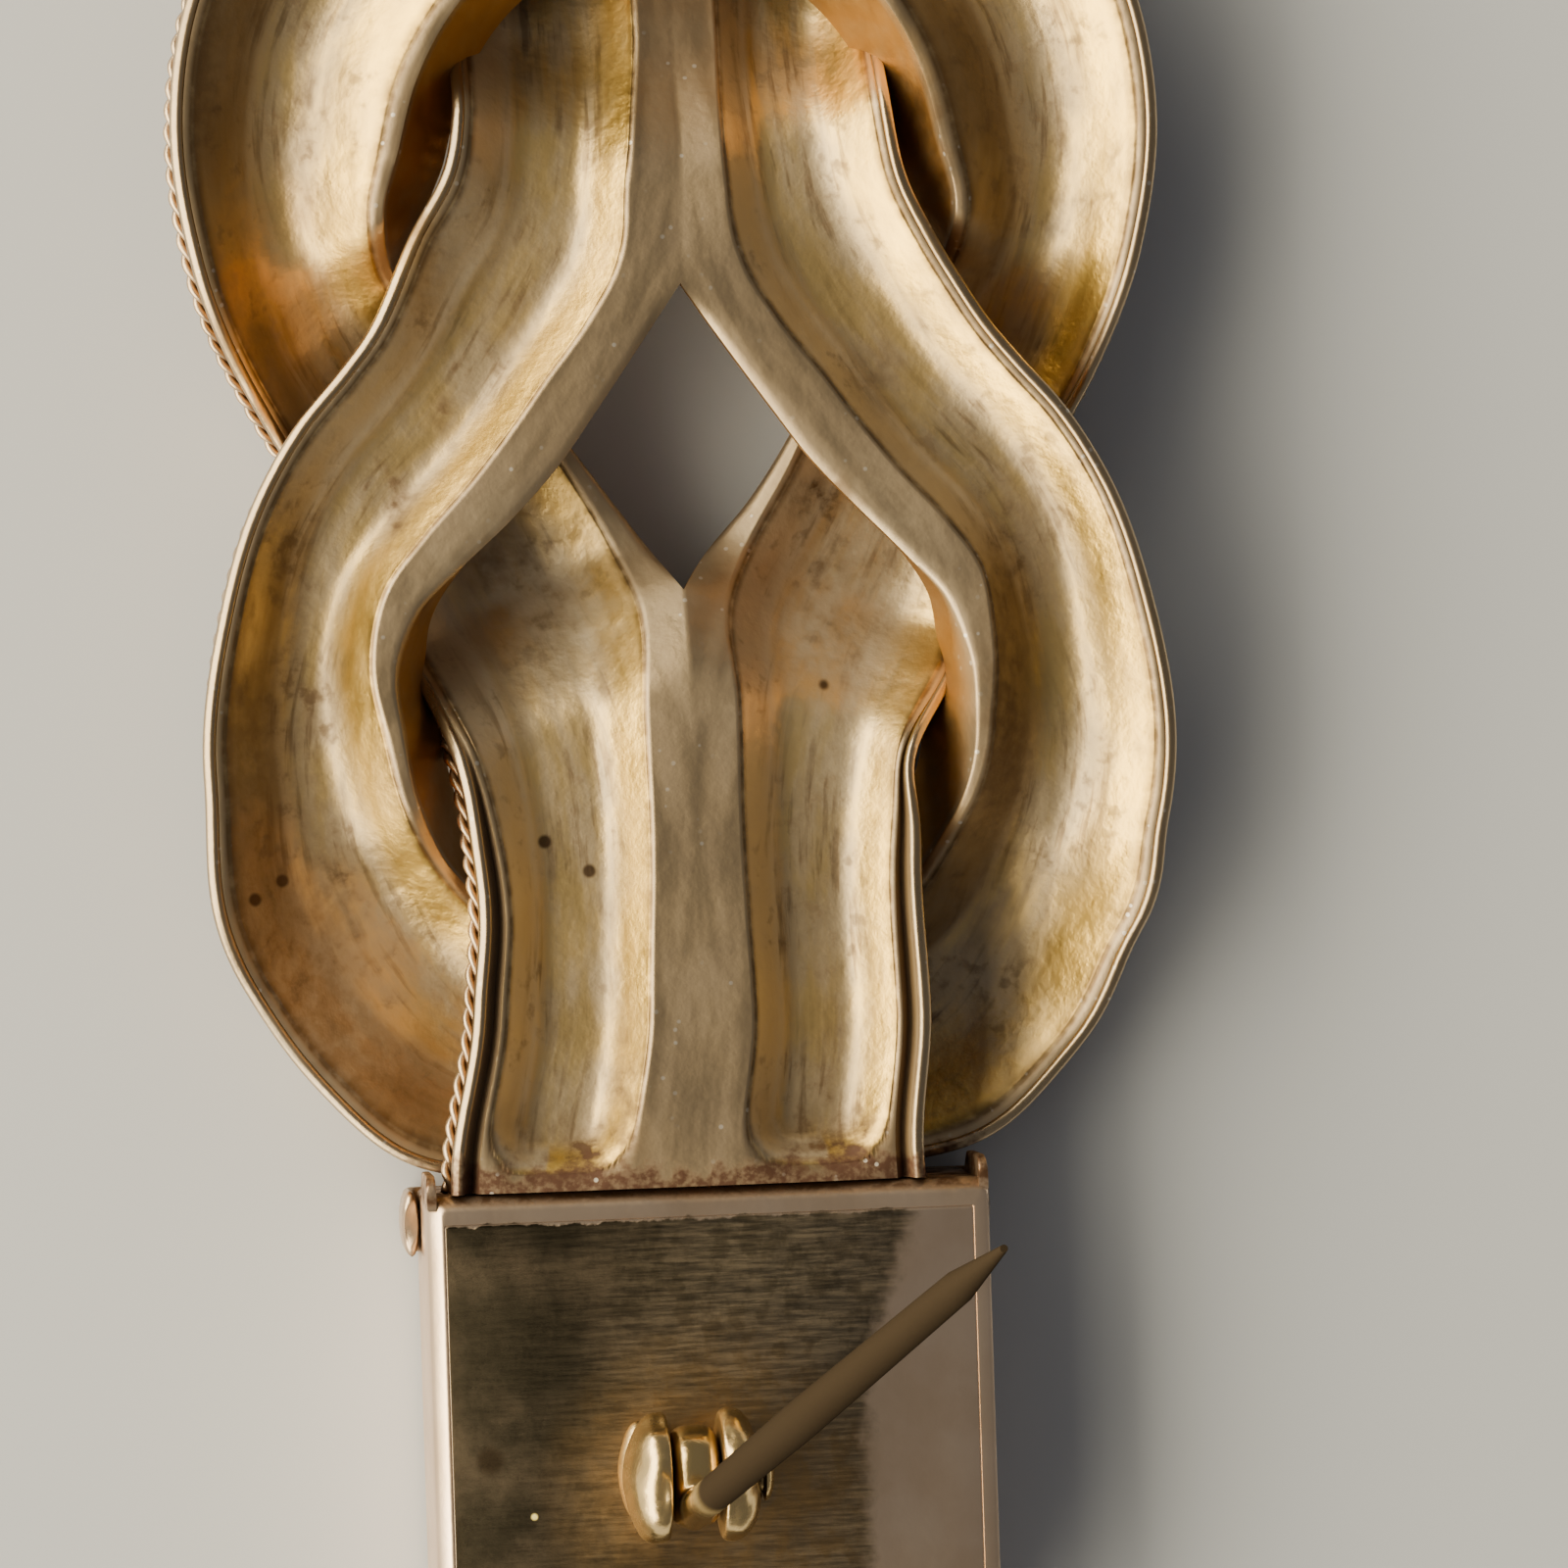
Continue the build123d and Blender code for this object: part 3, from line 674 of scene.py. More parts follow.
def revolved(profile, steps):
    """Skin of a profile (distance from the X axis, place along X) turned round the X axis."""
    points = []
    for radius, place in profile:
        for step in range(steps):
            angle = 2 * math.pi * step / steps
            points.append((place, radius * math.cos(angle), radius * math.sin(angle)))
    return np.array(points), ring_faces(len(profile), steps)[:-2]


def ellipsoid(centre, reaches, steps=24):
    """Skin of an ellipsoid with its poles along X."""
    profile = [
        (math.sin(math.pi * step / steps), -math.cos(math.pi * step / steps)) for step in range(steps + 1)
    ]
    profile[0], profile[-1] = (0.0, -1.0), (0.0, 1.0)
    points, faces = revolved(profile, 2 * steps)
    return points * reaches + centre, faces


def dome_profile(radius, base, height, steps):
    """Profile of a dome from its rim to its crown."""
    angles = [math.pi / 2 * step / steps for step in range(steps)]
    side = [(radius * math.cos(angle), base + height * math.sin(angle)) for angle in angles]
    return side + [(0.0, base + height)]


def make_cheek(name, side):
    """Domed cheek of the hinge, melted into the solder that it stands in."""
    profile = [(0.0, 0.0), (CHEEK_RADIUS - CHAMFER, 0.0), (CHEEK_RADIUS, CHAMFER)]
    profile.extend(dome_profile(CHEEK_RADIUS, CHEEK_WALL, CHEEK_THICKNESS - CHEEK_WALL, 12))
    points, faces = revolved(profile, 48)
    dome = ((points + (CHEEK_FACE, 0, 0)) * (side, 1, 1) + HINGE, faces)
    middle = HINGE + (side * (CHEEK_FACE + 0.5), 0, 0)
    foot = ellipsoid((middle[0], middle[1], PLATE_TOP - 0.05), SOLDER_REACHES)
    points, faces = fused([dome, foot], 0.05, 8)
    bulge = np.array([noise.noise(Vector(point) * 1.3 + Vector((side, 0, 0))) for point in points])
    off_face = rise(side * (points[:, 0] - HINGE[0]), CHEEK_FACE, CHEEK_FACE + 0.2)
    points += unit(points - middle) * (bulge * CHEEK_UNEVENNESS * off_face)[:, None]
    return make_object(name, points, faces)


def make_rivet(name):
    """Rivet of the hinge, with a round hammered head on the right."""
    face = CHEEK_FACE + CHEEK_THICKNESS
    edge = 0.2 * RIVET_HEAD_LENGTH
    profile = [(0.0, -face), (RIVET_RADIUS - CHAMFER, -face)]
    profile.extend([(RIVET_RADIUS, CHAMFER - face), (RIVET_RADIUS, face)])
    profile.extend(dome_profile(RIVET_HEAD_RADIUS, face + edge, RIVET_HEAD_LENGTH - edge, 8))
    points, faces = revolved(profile, 32)
    return make_object(name, points + HINGE, faces, sharp=50)


def make_terminal(name, turn):
    """Box terminal with the ends of its side walls; turn is 1 at the catch end and -1 at the hinge end."""
    points, faces = joined([terminal_skin(), ear_skin(-1), ear_skin(1)])
    return make_object(name, points * (1, turn, 1), faces, sharp=35)


def make_collar(name, turn):
    """Rounded moulding across the front of a terminal, turned up at both sides."""
    low, high = node_box("collar_catch_end")
    reach, top, corner, thick = high[0], high[2], COLLAR_CORNER, COLLAR_THICKNESS
    middle, half = (low[1] + high[1]) / 2, (high[1] - low[1]) / 2
    route = [(-reach, top), (-reach, top - 0.12), (-reach, (top + corner) / 2)]
    for step in range(7):
        angle = math.pi + math.pi / 2 * step / 6
        route.append((-reach + corner + corner * math.cos(angle), corner + corner * math.sin(angle)))
    route.extend([(x, 0.0) for x in np.linspace(-reach + 2 * corner, 0, 8)])
    route.extend([(-x, z) for x, z in route[-2::-1]])
    swell = [0.75] + [1.0] * (len(route) - 2) + [0.75]
    points, sides = [], 16
    for index, (x, z) in enumerate(route):
        before = np.array(route[max(index - 1, 0)])
        after = np.array(route[min(index + 1, len(route) - 1)])
        way = (after - before) / np.linalg.norm(after - before)
        for step in range(sides):
            angle = 2 * math.pi * step / sides
            lift = thick / 2 * (1 - math.cos(angle) * swell[index])
            place = middle + half * math.sin(angle) * swell[index]
            points.append((x - way[1] * lift, place * turn, z + way[0] * lift))
    return make_object(name, np.array(points), ring_faces(len(route), sides), sharp=60)


def make_pin(name):
    """Barrel and needle in one piece, open as in the photograph."""
    start = HINGE + np.array((0, -PIN_WAY[2], PIN_WAY[1])) * (BARREL_RADIUS - PIN_RADIUS)
    half, crown, rounding = BARREL_LENGTH / 2, BARREL_CROWN, BARREL_ROUNDING
    profile = [(BARREL_BORE, -half)]
    for step in range(9):
        angle = math.pi / 2 * step / 8
        profile.append((
            BARREL_RADIUS - crown + crown * math.sin(angle), -half + rounding * (1 - math.cos(angle))))
    profile.extend([(radius, -place) for radius, place in profile[::-1]])
    points, faces = revolved(profile + [profile[0]], 64)
    root_places = np.linspace(-0.3, PIN_ROOT_LENGTH, 12)
    root_radii = np.interp(root_places, (0, PIN_ROOT_LENGTH), (PIN_ROOT_RADIUS, PIN_RADIUS))
    root = tube(start + root_places[:, None] * PIN_WAY, root_radii, 24)
    knuckle = fused([(points + HINGE, faces), root], 0.04, 4)
    taper_start = PIN_LENGTH - PIN_POINT_LENGTH - PIN_TAPER_LENGTH
    point_start = PIN_LENGTH - PIN_POINT_LENGTH
    places = np.concatenate((
        np.linspace(PIN_ROOT_LENGTH - 0.3, taper_start, 20)[:-1],
        np.linspace(taper_start, point_start, 24)[:-1],
        np.linspace(point_start, PIN_LENGTH, 16),
    ))
    radii = np.interp(
        places, (taper_start, point_start, PIN_LENGTH), (PIN_RADIUS, PIN_TAPER_RADIUS, PIN_POINT_RADIUS))
    stem = tube(start + places[:, None] * PIN_WAY, radii, 24)
    return make_object(name, *joined([knuckle, stem]), sharp=60)


def bulged(value, power):
    """Power of a value, with its sign: it turns a circle into a rounded square."""
    return math.copysign(abs(value) ** power, value)


def make_catch(name):
    """C-shaped hook of round-edged strip on its stem."""
    low, high = node_box("catch_hook")
    middle_y = (low[1] + high[1]) / 2
    half = (high[1] - low[1]) / 2
    outer = CATCH_INNER_RADIUS + CATCH_WALL
    centre_z = HINGE[2] + BARREL_RADIUS - PIN_RADIUS
    middle = (CATCH_INNER_RADIUS + outer) / 2
    gap = math.asin(CATCH_MOUTH / 2 / middle) + 0.18
    points = []
    sides, steps = 16, 40
    for step in range(steps + 1):
        angle = math.pi / 2 + gap + (2 * math.pi - 2 * gap) * step / steps
        end_share = min(step, steps - step) / 2
        swell = min(1.0, 0.6 + 0.4 * end_share)
        for corner in range(sides):
            turn = 2 * math.pi * corner / sides
            radius = middle + CATCH_WALL / 2 * swell * bulged(math.cos(turn), 0.6)
            place = half * swell * bulged(math.sin(turn), 0.5)
            points.append((
                HINGE[0] + radius * math.cos(angle), middle_y + place, centre_z + radius * math.sin(angle)))
    hook = (np.array(points), ring_faces(steps + 1, sides))
    front, back = middle_y - half + 0.02, middle_y + half - 0.02
    foot, top = low[2], centre_z - outer + CATCH_WALL / 2
    rings = ((0.25, foot), (0.12, foot + 0.08), (0.0, foot + 0.3), (0.0, top))
    outlines = []
    for flare, z in rings:
        reach = CATCH_STEM_HALF_WIDTH + flare
        outlines.append((rounded_outline(HINGE[0] - reach, HINGE[0] + reach, front, back, 0.1, 4, 6), z))
    stem = stacked(outlines)
    return make_object(name, *fused([hook, stem], 0.04, 4))


class Mixer:
    """Builds one material out of shader nodes."""

    def __init__(self, name):
        self.material = bpy.data.materials.new(name)
        self.material.use_nodes = True
        self.tree = self.material.node_tree
        self.shader = self.tree.nodes["Principled BSDF"]
        self.place = self.add("ShaderNodeTexCoord").outputs["Object"]

    def add(self, kind, inputs=None, **settings):
        node = self.tree.nodes.new(kind)
        for key, value in settings.items():
            setattr(node, key, value)
        for key, value in (inputs or {}).items():
            self.join(node.inputs[key], value)
        return node

    def join(self, socket, value):
        if isinstance(value, bpy.types.NodeSocket):
            self.tree.links.new(value, socket)
        else:
            socket.default_value = value

    def math(self, operation, first, *others, clamp=False):
        """The first value joined with each of the others in turn, or treated alone."""
        for other in others or (0.0,):
            node = self.add("ShaderNodeMath", {0: first, 1: other}, operation=operation, use_clamp=clamp)
            first = node.outputs[0]
        return first

    def total(self, *values):
        """Sum of values, held between 0 and 1."""
        return self.math("ADD", *values, clamp=True)

    def times(self, *values):
        return self.math("MULTIPLY", *values)

    def span(self, value, low, high, low_value=0.0, high_value=1.0):
        """Smooth step from one value to another while the input goes from low to high."""
        return self.add(
            "ShaderNodeMapRange", {0: value, 1: low, 2: high, 3: low_value, 4: high_value},
            interpolation_type="SMOOTHSTEP").outputs[0]

    def grain(self, scale, detail=3.0, stretch=(1, 1, 1), place=None, roughness=0.55):
        """Noise with a number of lumps a millimetre, from 0 to 1."""
        place = self.place if place is None else place
        factors = tuple(scale * part / MM for part in stretch)
        scaled = self.add("ShaderNodeVectorMath", {0: place, 1: factors}, operation="MULTIPLY").outputs[0]
        inputs = {"Vector": scaled, "Scale": 1.0, "Detail": detail, "Roughness": roughness}
        return self.add("ShaderNodeTexNoise", inputs).outputs[0]

    def tint(self, share, first, second):
        """Colour between two."""
        node = self.add("ShaderNodeMix", data_type="RGBA")
        self.join(node.inputs[0], share)
        self.join(node.inputs[6], first)
        self.join(node.inputs[7], second)
        return node.outputs[2]

    def painted(self, color, *layers):
        """Colour under layers, each a share and a colour."""
        for share, over in layers:
            color = self.tint(share, color, over)
        return color

    def value(self, name):
        """A named point value of the mesh."""
        return self.add("ShaderNodeAttribute", attribute_name=name).outputs["Fac"]

    def creases(self, reach, low, high):
        """1 in crevices within reach, in millimetres, and 0 in the open."""
        node = self.add("ShaderNodeAmbientOcclusion", {"Distance": reach * MM}, samples=2)
        return self.span(self.math("SUBTRACT", 1.0, node.outputs["AO"]), low, high)

    def spot(self, centre, reach, soft=0.6, squash=1.0):
        """1 near a place in millimetres and 0 beyond reach. squash shortens distances in height."""
        scale = (1, 1, squash)
        place = self.add("ShaderNodeVectorMath", {0: self.place, 1: scale}, operation="MULTIPLY").outputs[0]
        centre = tuple(c * part * MM for c, part in zip(centre, scale))
        apart = self.add("ShaderNodeVectorMath", {0: place, 1: centre}, operation="DISTANCE")
        return self.span(apart.outputs["Value"], reach * MM * (1 - soft), reach * MM, 1.0, 0.0)

    def relief(self, height, depth, before=None):
        inputs = {"Height": height, "Distance": depth * MM, "Strength": 1.0}
        if before is not None:
            inputs["Normal"] = before
        return self.add("ShaderNodeBump", inputs).outputs[0]

    def finish(self, color, roughness, normal, metallic=1.0):
        inputs = {"Base Color": color, "Roughness": roughness, "Normal": normal, "Metallic": metallic}
        for key, value in inputs.items():
            self.join(self.shader.inputs[key], value)
        return self.material


CLEAN_GOLD = (0.92, 0.62, 0.16, 1)
ROSY_GOLD = (0.395, 0.31, 0.235, 1)
SATIN_TARNISH = (0.45, 0.35, 0.225, 1)
# Painted shade: duller gold, then brown, on the walls that face right, away from the light
LEE_PAINTED_SHADE_GOLD = (0.54, 0.46, 0.35, 1)
LEE_PAINTED_SHADE = (0.24, 0.165, 0.085, 1)
CLEFT_TARNISH = (0.20, 0.14, 0.085, 1)
# Painted light: paler gold on the sunk spades, where the other loop's shadow falls
SPADE_PAINTED_LIGHT = (0.50, 0.42, 0.315, 1)
# Painted shade: brown on the turned-down sides, for the shaded gold seen in the gaps between the loops
SKIRT_PAINTED_SHADE = (0.44, 0.235, 0.07, 1)
BROWN_TARNISH = (0.12, 0.07, 0.033, 1)
RED_DIRT = (0.10, 0.045, 0.022, 1)
AMBER = (0.66, 0.42, 0.17, 1)
OLIVE = (0.24, 0.20, 0.10, 1)
DUST = (0.75, 0.70, 0.64, 1)
SOLDER_DIRT = (0.085, 0.035, 0.02, 1)
PIT_DIRT = (0.05, 0.025, 0.012, 1)
OLIVE_DARK = (0.16, 0.13, 0.092, 1)
OLIVE_LIGHT = (0.27, 0.215, 0.15, 1)
OLIVE_STAIN = (0.055, 0.043, 0.026, 1)
OLIVE_SHADE = (0.02, 0.017, 0.012, 1)
ROSY_PLATE = (0.84, 0.62, 0.44, 1)
ROSY_PLATE_LIGHT = (0.94, 0.72, 0.54, 1)
HINGE_GLOW = (0.40, 0.25, 0.11, 1)
DARK_DOT = (0.02, 0.014, 0.009, 1)
# Painted glint: a tiny bright highlight on the plate
PAINTED_GLINT = (0.95, 0.8, 0.3, 1)
NEEDLE_DARK = (0.032, 0.023, 0.015, 1)
KNUCKLE_GOLD = (0.85, 0.62, 0.28, 1)
PITS = ((-3.4, -9.1, 3.55), (-2.4, -9.8, 3.55), (-10.0, -10.2, 3.2), (-9.35, -9.8, 3.1), (3.2, -5.7, 3.5))
LIGHT_COLOR = (1.0, 0.88, 0.62)
FLOOR_COLOR = (0.52, 0.55, 0.62, 1)
WORLD_COLOR = (0.15, 0.147, 0.14, 1)


def pressed_gold(name):
    """Old pressed gold: satin hollows, bright walls, grey-brown flats and dirty creases, with painted shade
    on the walls that face right and on the turned-down sides, and painted light on the sunk spades.
    """
    mix = Mixer(name)
    span, times = mix.span, mix.times
    strand = mix.add("ShaderNodeUVMap", uv_map="strand").outputs[0]
    streaks = mix.grain(0.001, 4.0, (1.8, 0.35, 1.0), strand)
    patches = mix.grain(0.5, 5.0)
    lumps = mix.grain(2.0, 5.0)
    crumbs = mix.grain(6.0, 3.0)
    hollow = mix.value("hollow")
    floor = span(hollow, 0.45, 0.98)
    flat = span(hollow, 0.02, 0.1, 1.0, 0.0)
    skirt = mix.value("skirt")
    wear = mix.math("ADD", times(streaks, 0.55), times(patches, 0.45))
    satin = times(floor, span(wear, 0.38, 0.58, 0.6, 1.0))
    blotches = times(
        span(lumps, 0.52, 0.68), span(patches, 0.46, 0.62), span(hollow, 0.1, 0.3), 0.45)
    stain = mix.total(times(mix.value("stain"), span(lumps, 0.3, 0.6, 0.25, 1.0)), blotches)
    shade = times(span(mix.value("shade"), 0.0, 0.7), span(wear, 0.35, 0.6, 0.75, 1.0))
    painted_lee_shade = span(mix.value("lee"), 0.0, 0.7, 0.0, 0.95)
    fine = mix.grain(0.001, 5.0, (4.5, 0.45, 1.0), strand)
    worn_streak = times(
        span(fine, 0.5, 0.66), span(hollow, 0.3, 0.8), span(patches, 0.4, 0.6, 0.25, 0.8))
    spade_painted_light = times(mix.value("spade_painted_light"), span(lumps, 0.35, 0.62, 1.0, 0.55))
    groove = times(span(hollow, 0.005, 0.04), span(hollow, 0.06, 0.2, 1.0, 0.0))
    cleft = mix.value("cleft")
    along = mix.add("ShaderNodeSeparateXYZ", {0: mix.place}).outputs[1]
    ragged = mix.math("ADD", times(patches, 1.6 * MM), times(lumps, 1.2 * MM))
    near_end = span(mix.math("ADD", mix.math("ABSOLUTE", along), ragged), 17.65 * MM, 18.1 * MM)
    dots = mix.add("ShaderNodeTexVoronoi", {"Vector": mix.place, "Scale": 2600.0}).outputs["Distance"]
    off_skirt = mix.math("SUBTRACT", 1.0, skirt)
    specks = times(span(dots, 0.10, 0.17, 1.0, 0.0), flat, off_skirt, span(patches, 0.45, 0.6))
    creases = mix.creases(0.45, 0.4, 0.85)
    color = mix.painted(
        CLEAN_GOLD,
        (span(wear, 0.4, 0.65, 0.0, 0.35), ROSY_GOLD),
        (times(flat, 0.85), ROSY_GOLD),
        (satin, SATIN_TARNISH),
        # Painted shade: a duller gold and then a brown on the walls that face right, away from the light
        (painted_lee_shade, LEE_PAINTED_SHADE_GOLD),
        (shade, LEE_PAINTED_SHADE),
        (times(worn_streak, 0.75), BROWN_TARNISH),
        # Painted light: paler gold on the sunk spades, where the other loop's shadow falls
        (spade_painted_light, SPADE_PAINTED_LIGHT),
        (times(mix.value("amber"), span(lumps, 0.25, 0.7, 0.35, 0.9)), AMBER),
        (times(mix.value("olive"), span(streaks, 0.3, 0.6, 0.4, 1.0)), OLIVE),
        (times(groove, span(lumps, 0.3, 0.6, 0.35, 0.8)), BROWN_TARNISH),
        (stain, BROWN_TARNISH),
        (span(cleft, 0.1, 0.5, 0.0, 0.92), CLEFT_TARNISH),
        # Painted shade: brown on the turned-down sides, for the shaded gold seen in the gaps between the
        # loops
        (times(skirt, span(lumps, 0.3, 0.6, 0.8, 1.0)), SKIRT_PAINTED_SHADE),
        (times(near_end, span(crumbs, 0.3, 0.6, 0.6, 0.95)), SOLDER_DIRT),
        (times(specks, 0.7), DUST),
        *[(times(mix.spot(pit, 0.2, 0.5, 0.15), 0.9), PIT_DIRT) for pit in PITS],
        (times(creases, 0.75), RED_DIRT),
    )
    matt = mix.total(
        times(satin, 0.3), times(stain, 0.5), times(creases, 0.4), times(painted_lee_shade, 0.3),
        times(cleft, 0.9), times(spade_painted_light, 0.4), times(near_end, 0.5))
    roughness = mix.total(
        span(streaks, 0.3, 0.7, 0.27, 0.41), times(matt, 0.25), times(flat, 0.08),
        times(crumbs, 0.04), times(mix.value("rim"), -0.14))
    bumps = mix.math("ADD", times(crumbs, 0.15), times(lumps, 0.85))
    waves = times(patches, span(flat, 0.0, 1.0, 1.0, 0.3))
    normal = mix.relief(bumps, 0.013, mix.relief(waves, 0.07))
    return mix.finish(color, roughness, normal, mix.math("SUBTRACT", 1.0, times(matt, 0.8)))


def terminal_gold(name, turn):
    """Brushed plate with olive tarnish and a clean rosy side; turn is -1 at the hinge end."""
    mix = Mixer(name)
    span, times = mix.span, mix.times
    x, y, z = mix.add("ShaderNodeSeparateXYZ", {0: mix.place}).outputs
    scratches = mix.grain(1.0, 6.0, (0.9, 11.0, 1.0), roughness=0.7)
    patches = mix.grain(0.5, 5.0)
    lumps = mix.grain(2.2, 5.0)
    along = times(y, turn / MM)
    uneven = mix.math("SUBTRACT", lumps, 0.5)
    inward = mix.math("ADD", times(x, 1 / MM), times(uneven, 0.9))
    beyond = times(mix.math("ADD", along, -18.0), -0.33)
    edge = mix.math("ADD", mix.math("MAXIMUM", beyond, -1.1), 4.6)
    left_of_edge = span(mix.math("SUBTRACT", edge, inward), -0.2, 0.35)
    on_top = span(z, (PLATE_TOP - 0.03) * MM, (PLATE_TOP - 0.01) * MM)
    ragged = mix.math("ADD", along, times(uneven, 0.4))
    past_lip = span(ragged, TERMINAL_START + FRONT_LIP, TERMINAL_START + FRONT_LIP + 0.08)
    plate_side = TERMINAL_HALF_WIDTH - SIDE_LIP
    inside = span(mix.math("ABSOLUTE", x), (plate_side - 0.04) * MM, plate_side * MM, 1.0, 0.0)
    tarnish = times(left_of_edge, on_top, past_lip, inside)
    olive = mix.painted(
        OLIVE_DARK,
        (span(scratches, 0.3, 0.7), OLIVE_LIGHT),
        (span(lumps, 0.42, 0.62, 0.0, 0.5), OLIVE_STAIN),
        (span(inward, -4.0, 2.0, 0.97, 0.0), OLIVE_SHADE),
    )
    color = mix.painted(
        ROSY_PLATE,
        (span(patches, 0.3, 0.7), ROSY_PLATE_LIGHT),
        (times(tarnish, span(patches, 0.25, 0.6, 0.96, 1.0)), olive),
    )
    if turn < 0:
        glow = mix.spot((HINGE[0] + 0.9, HINGE[1] - 0.6, PLATE_TOP), 4.6, 0.8)
        color = mix.painted(
            color,
            (times(glow, on_top, span(lumps, 0.3, 0.7, 0.35, 0.75)), HINGE_GLOW),
            (times(mix.spot((-5.16, -23.0, PLATE_TOP), 0.42), 0.8), DARK_DOT),
            # Painted glint: a tiny bright highlight on the plate
            (mix.spot((-4.2, -24.3, PLATE_TOP), 0.1), PAINTED_GLINT),
        )
    front = span(ragged, TERMINAL_START + 0.12, TERMINAL_START + 0.36, 1.0, 0.0)
    dirt = times(front, span(lumps, 0.35, 0.6, 0.3, 0.95))
    creases = times(mix.creases(0.35, 0.3, 0.7), 0.85)
    color = mix.painted(color, (dirt, RED_DIRT), (creases, BROWN_TARNISH))
    brushed = times(tarnish, span(scratches, 0.3, 0.7, 0.04, 0.2))
    roughness = mix.total(0.3, brushed, times(dirt, 0.3))
    relief = mix.math("ADD", times(scratches, tarnish, 0.6), times(lumps, 0.4))
    normal = mix.relief(relief, 0.012, mix.relief(patches, 0.035))
    return mix.finish(color, roughness, normal)


def bright_gold(name, color, roughness, dirt_color, dirt_share, reach):
    """Worn gold with dirt in its crevices."""
    mix = Mixer(name)
    span, times = mix.span, mix.times
    lumps = mix.grain(2.5, 4.0)
    patches = mix.grain(0.7, 3.0)
    dirt = times(mix.creases(reach, 0.25, 0.7), dirt_share)
    dull = tuple(part * 0.82 for part in color[:3]) + (1,)
    shade = mix.painted(color, (span(patches, 0.3, 0.7), dull), (dirt, dirt_color))
    rough = mix.total(span(lumps, 0.3, 0.7, roughness * 0.85, roughness * 1.2), times(dirt, 0.3))
    return mix.finish(shade, rough, mix.relief(lumps, 0.02))


def pin_metal(name):
    """Bright knuckle at the hinge and a needle that turns dark away from it."""
    mix = Mixer(name)
    span, times = mix.span, mix.times
    lumps = mix.grain(2.5, 4.0)
    near = mix.spot(tuple(HINGE), 5.5, 0.7)
    dirt = times(mix.creases(0.5, 0.3, 0.7), 0.8)
    shade = mix.painted(NEEDLE_DARK, (near, KNUCKLE_GOLD), (dirt, RED_DIRT))
    rough = mix.total(span(near, 0.0, 1.0, 0.5, 0.16), times(dirt, 0.3))
    mix.join(mix.shader.inputs["Specular IOR Level"], 0.0)
    return mix.finish(shade, rough, mix.relief(lumps, 0.015), span(near, 0.0, 0.5))


def dress(made, material, body, slot, *nodes):
    made.data.materials.clear()
    made.data.materials.append(material)
    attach(made, body)
    if nodes:
        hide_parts(*nodes)


knot_gold = pressed_gold("pressed_gold")
wire_gold = bright_gold("wire_gold", (0.70, 0.53, 0.36, 1), 0.34, RED_DIRT, 0.95, 0.3)
moulding_gold = bright_gold("moulding_gold", (0.74, 0.56, 0.40, 1), 0.3, RED_DIRT, 0.8, 0.5)
hinge_gold = bright_gold("hinge_gold", (0.90, 0.66, 0.32, 1), 0.24, BROWN_TARNISH, 0.85, 0.7)
pin_gold = pin_metal("pin_gold")

for loop in TURNS:
    dress(make_loop(f"pressed_loop_{loop}", loop), knot_gold, "brooch", "gold_knot", f"loop_{loop}_end")
    outer = wire_path(loop, False)
    for side_name, side in (("right", 1), ("left", -1)):
        wire = make_twist(f"twisted_outer_{loop}_{side_name}", outer * (side, 1, 1), loop)
        dress(wire, wire_gold, "brooch", "gold_wire", f"wire_outer_{loop}_{side_name}")
    inner = wire_path(loop, True)
    whole = np.vstack((inner, (inner * (-1, 1, 1))[::-1][1:]))
    wire = make_twist(f"twisted_inner_{loop}", whole, loop)
    dress(wire, wire_gold, "brooch", "gold_wire", f"wire_inner_{loop}")

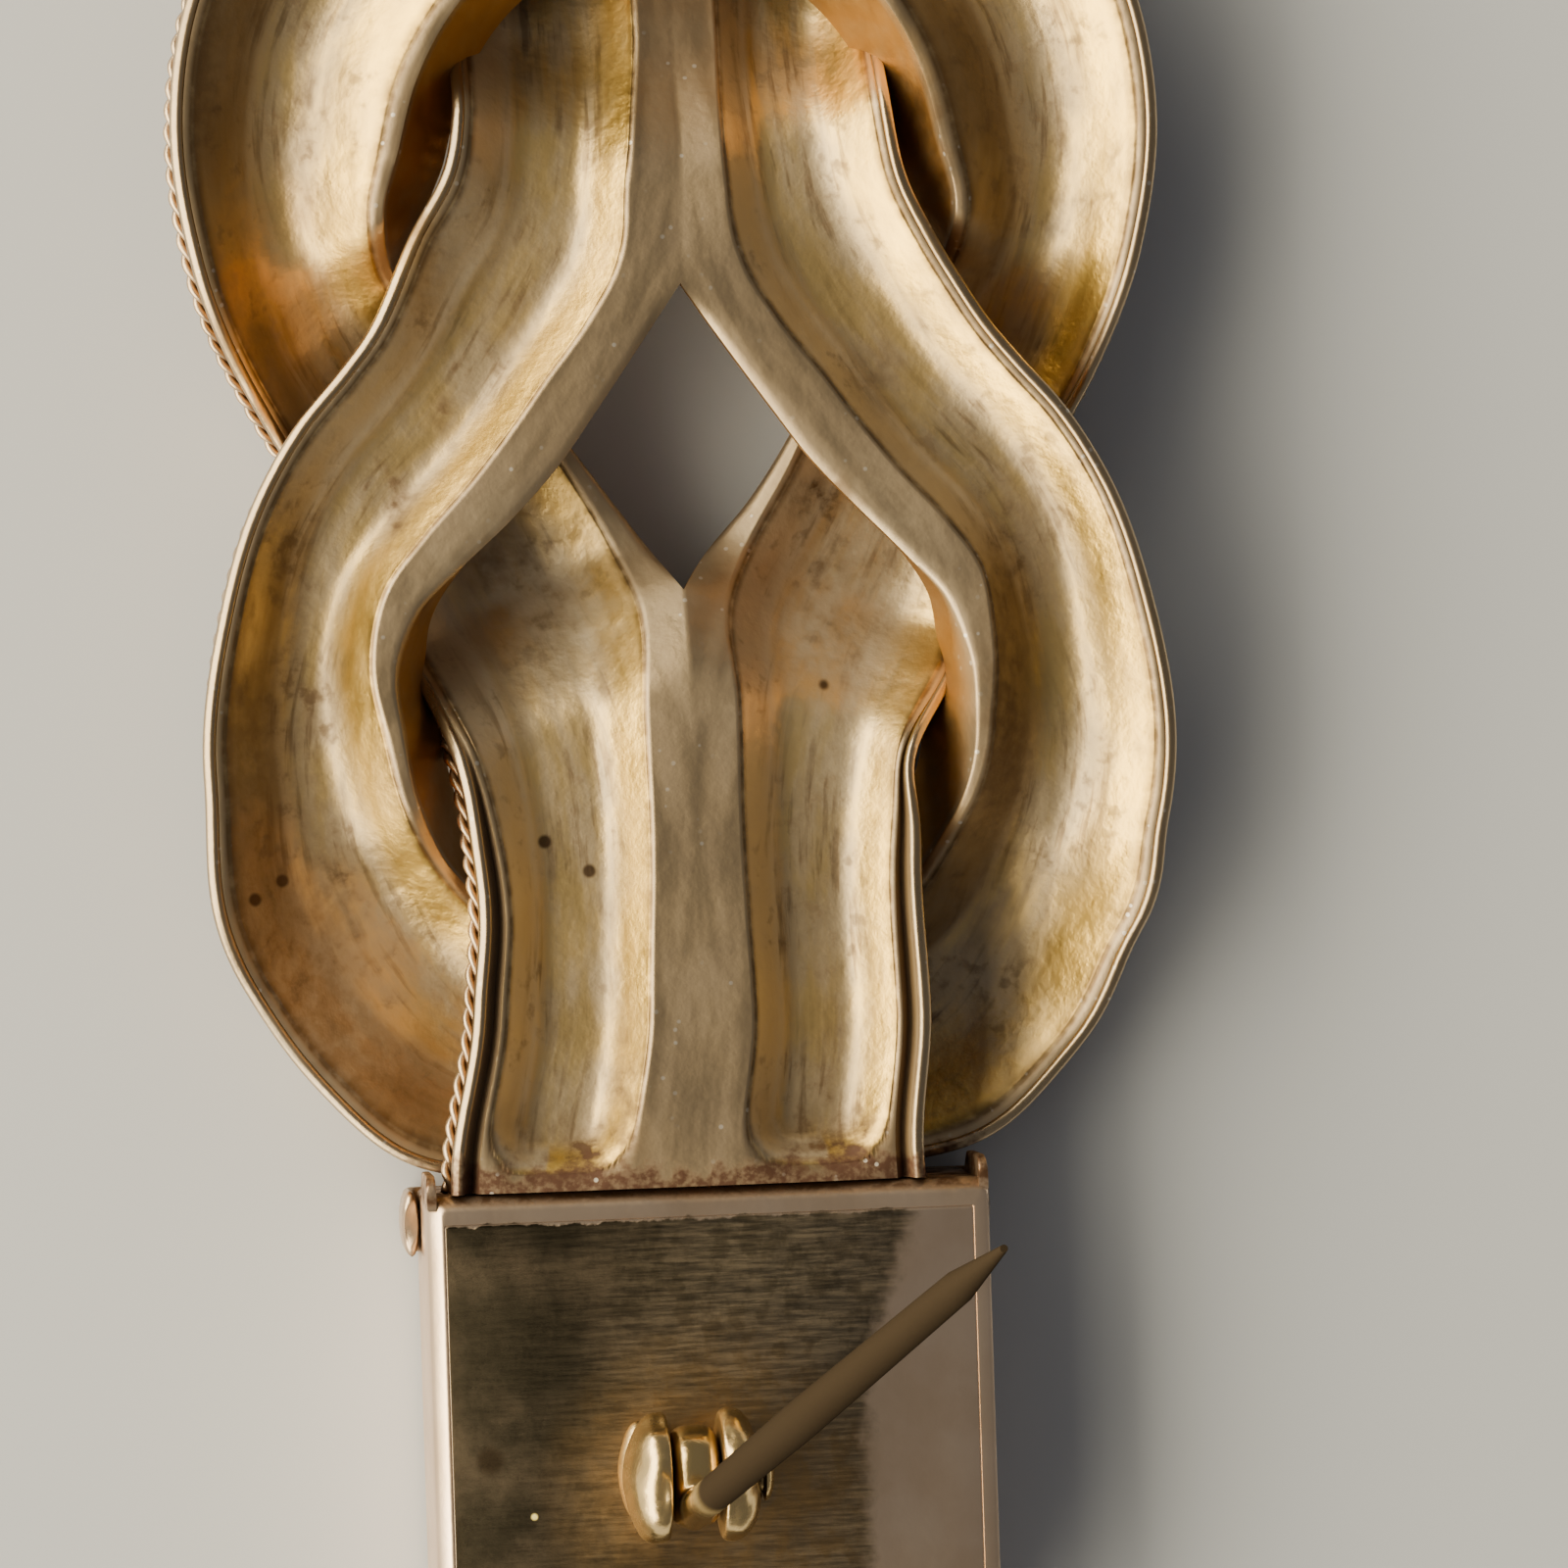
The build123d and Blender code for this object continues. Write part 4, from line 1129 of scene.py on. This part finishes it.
for end, turn in TURNS.items():
    box = make_terminal(f"box_terminal_{end}", turn)
    plate_gold = terminal_gold(f"terminal_gold_{end}", turn)
    dress(box, plate_gold, "brooch", "gold_terminal", f"terminal_{end}_end")
    dress(make_collar(f"moulding_{end}", turn), moulding_gold, "brooch", "gold_wire", f"collar_{end}_end")
for side_name, side in (("left", -1), ("right", 1)):
    dress(make_cheek(f"hinge_cheek_{side_name}", side), hinge_gold, "brooch", "gold_terminal")
dress(make_rivet("hammered_rivet"), hinge_gold, "brooch", "gold_pin", "hinge_rivet")
dress(make_catch("strip_hook"), hinge_gold, "brooch", "gold_pin", "catch_hook")
dress(make_pin("needle_and_barrel"), pin_gold, "pin", "gold_pin", "pin")


def make_floor():
    mesh = bpy.data.meshes.new("floor")
    half = 1.5
    corners = [(-half, -half, 0), (half, -half, 0), (half, half, 0), (-half, half, 0)]
    mesh.from_pydata(corners, [], [(0, 1, 2, 3)])
    material = bpy.data.materials.new("pale_floor")
    material.use_nodes = True
    shader = material.node_tree.nodes["Principled BSDF"]
    shader.inputs["Base Color"].default_value = FLOOR_COLOR
    shader.inputs["Roughness"].default_value = 0.9
    mesh.materials.append(material)
    placed("floor", mesh)


def make_camera():
    """Camera at the photograph's place: a little to the left of straight above."""
    data = bpy.data.cameras.new("camera")
    data.sensor_width = SENSOR_WIDTH
    data.lens = SENSOR_WIDTH * VIEW_DISTANCE / VIEW_WIDTH
    data.clip_start = 0.005
    made = placed("camera", data)
    back = Vector((-math.sin(VIEW_TILT), 0, math.cos(VIEW_TILT)))
    up = Vector((math.sin(VIEW_ROLL), math.cos(VIEW_ROLL), 0))
    right = up.cross(back).normalized()
    up = back.cross(right)
    place = Vector(VIEW_CENTRE * MM) + back * VIEW_DISTANCE * MM
    made.matrix_world = Matrix.Translation(place) @ Matrix((right, up, back)).transposed().to_4x4()
    bpy.context.scene.camera = made


def make_light(name, place, size, height, power):
    """Soft light panel that points at the knot."""
    data = bpy.data.lights.new(name, "AREA")
    data.shape = "RECTANGLE"
    data.size = size
    data.size_y = height
    data.energy = power
    data.color = LIGHT_COLOR
    made = placed(name, data)
    made.location = place
    made.rotation_mode = "QUATERNION"
    made.rotation_quaternion = Vector(place).to_track_quat("Z", "Y")


def make_world():
    world = bpy.data.worlds.new("studio")
    world.use_nodes = True
    world.node_tree.nodes["Background"].inputs["Color"].default_value = WORLD_COLOR
    bpy.context.scene.world = world


make_floor()
make_camera()
make_world()
make_light("key", (-0.40, 0.0, 0.22), 1.60, 0.36, 12.5)
make_light("key_edge", (-0.42, 0.0, 0.24), 2.00, 0.62, 7.5)
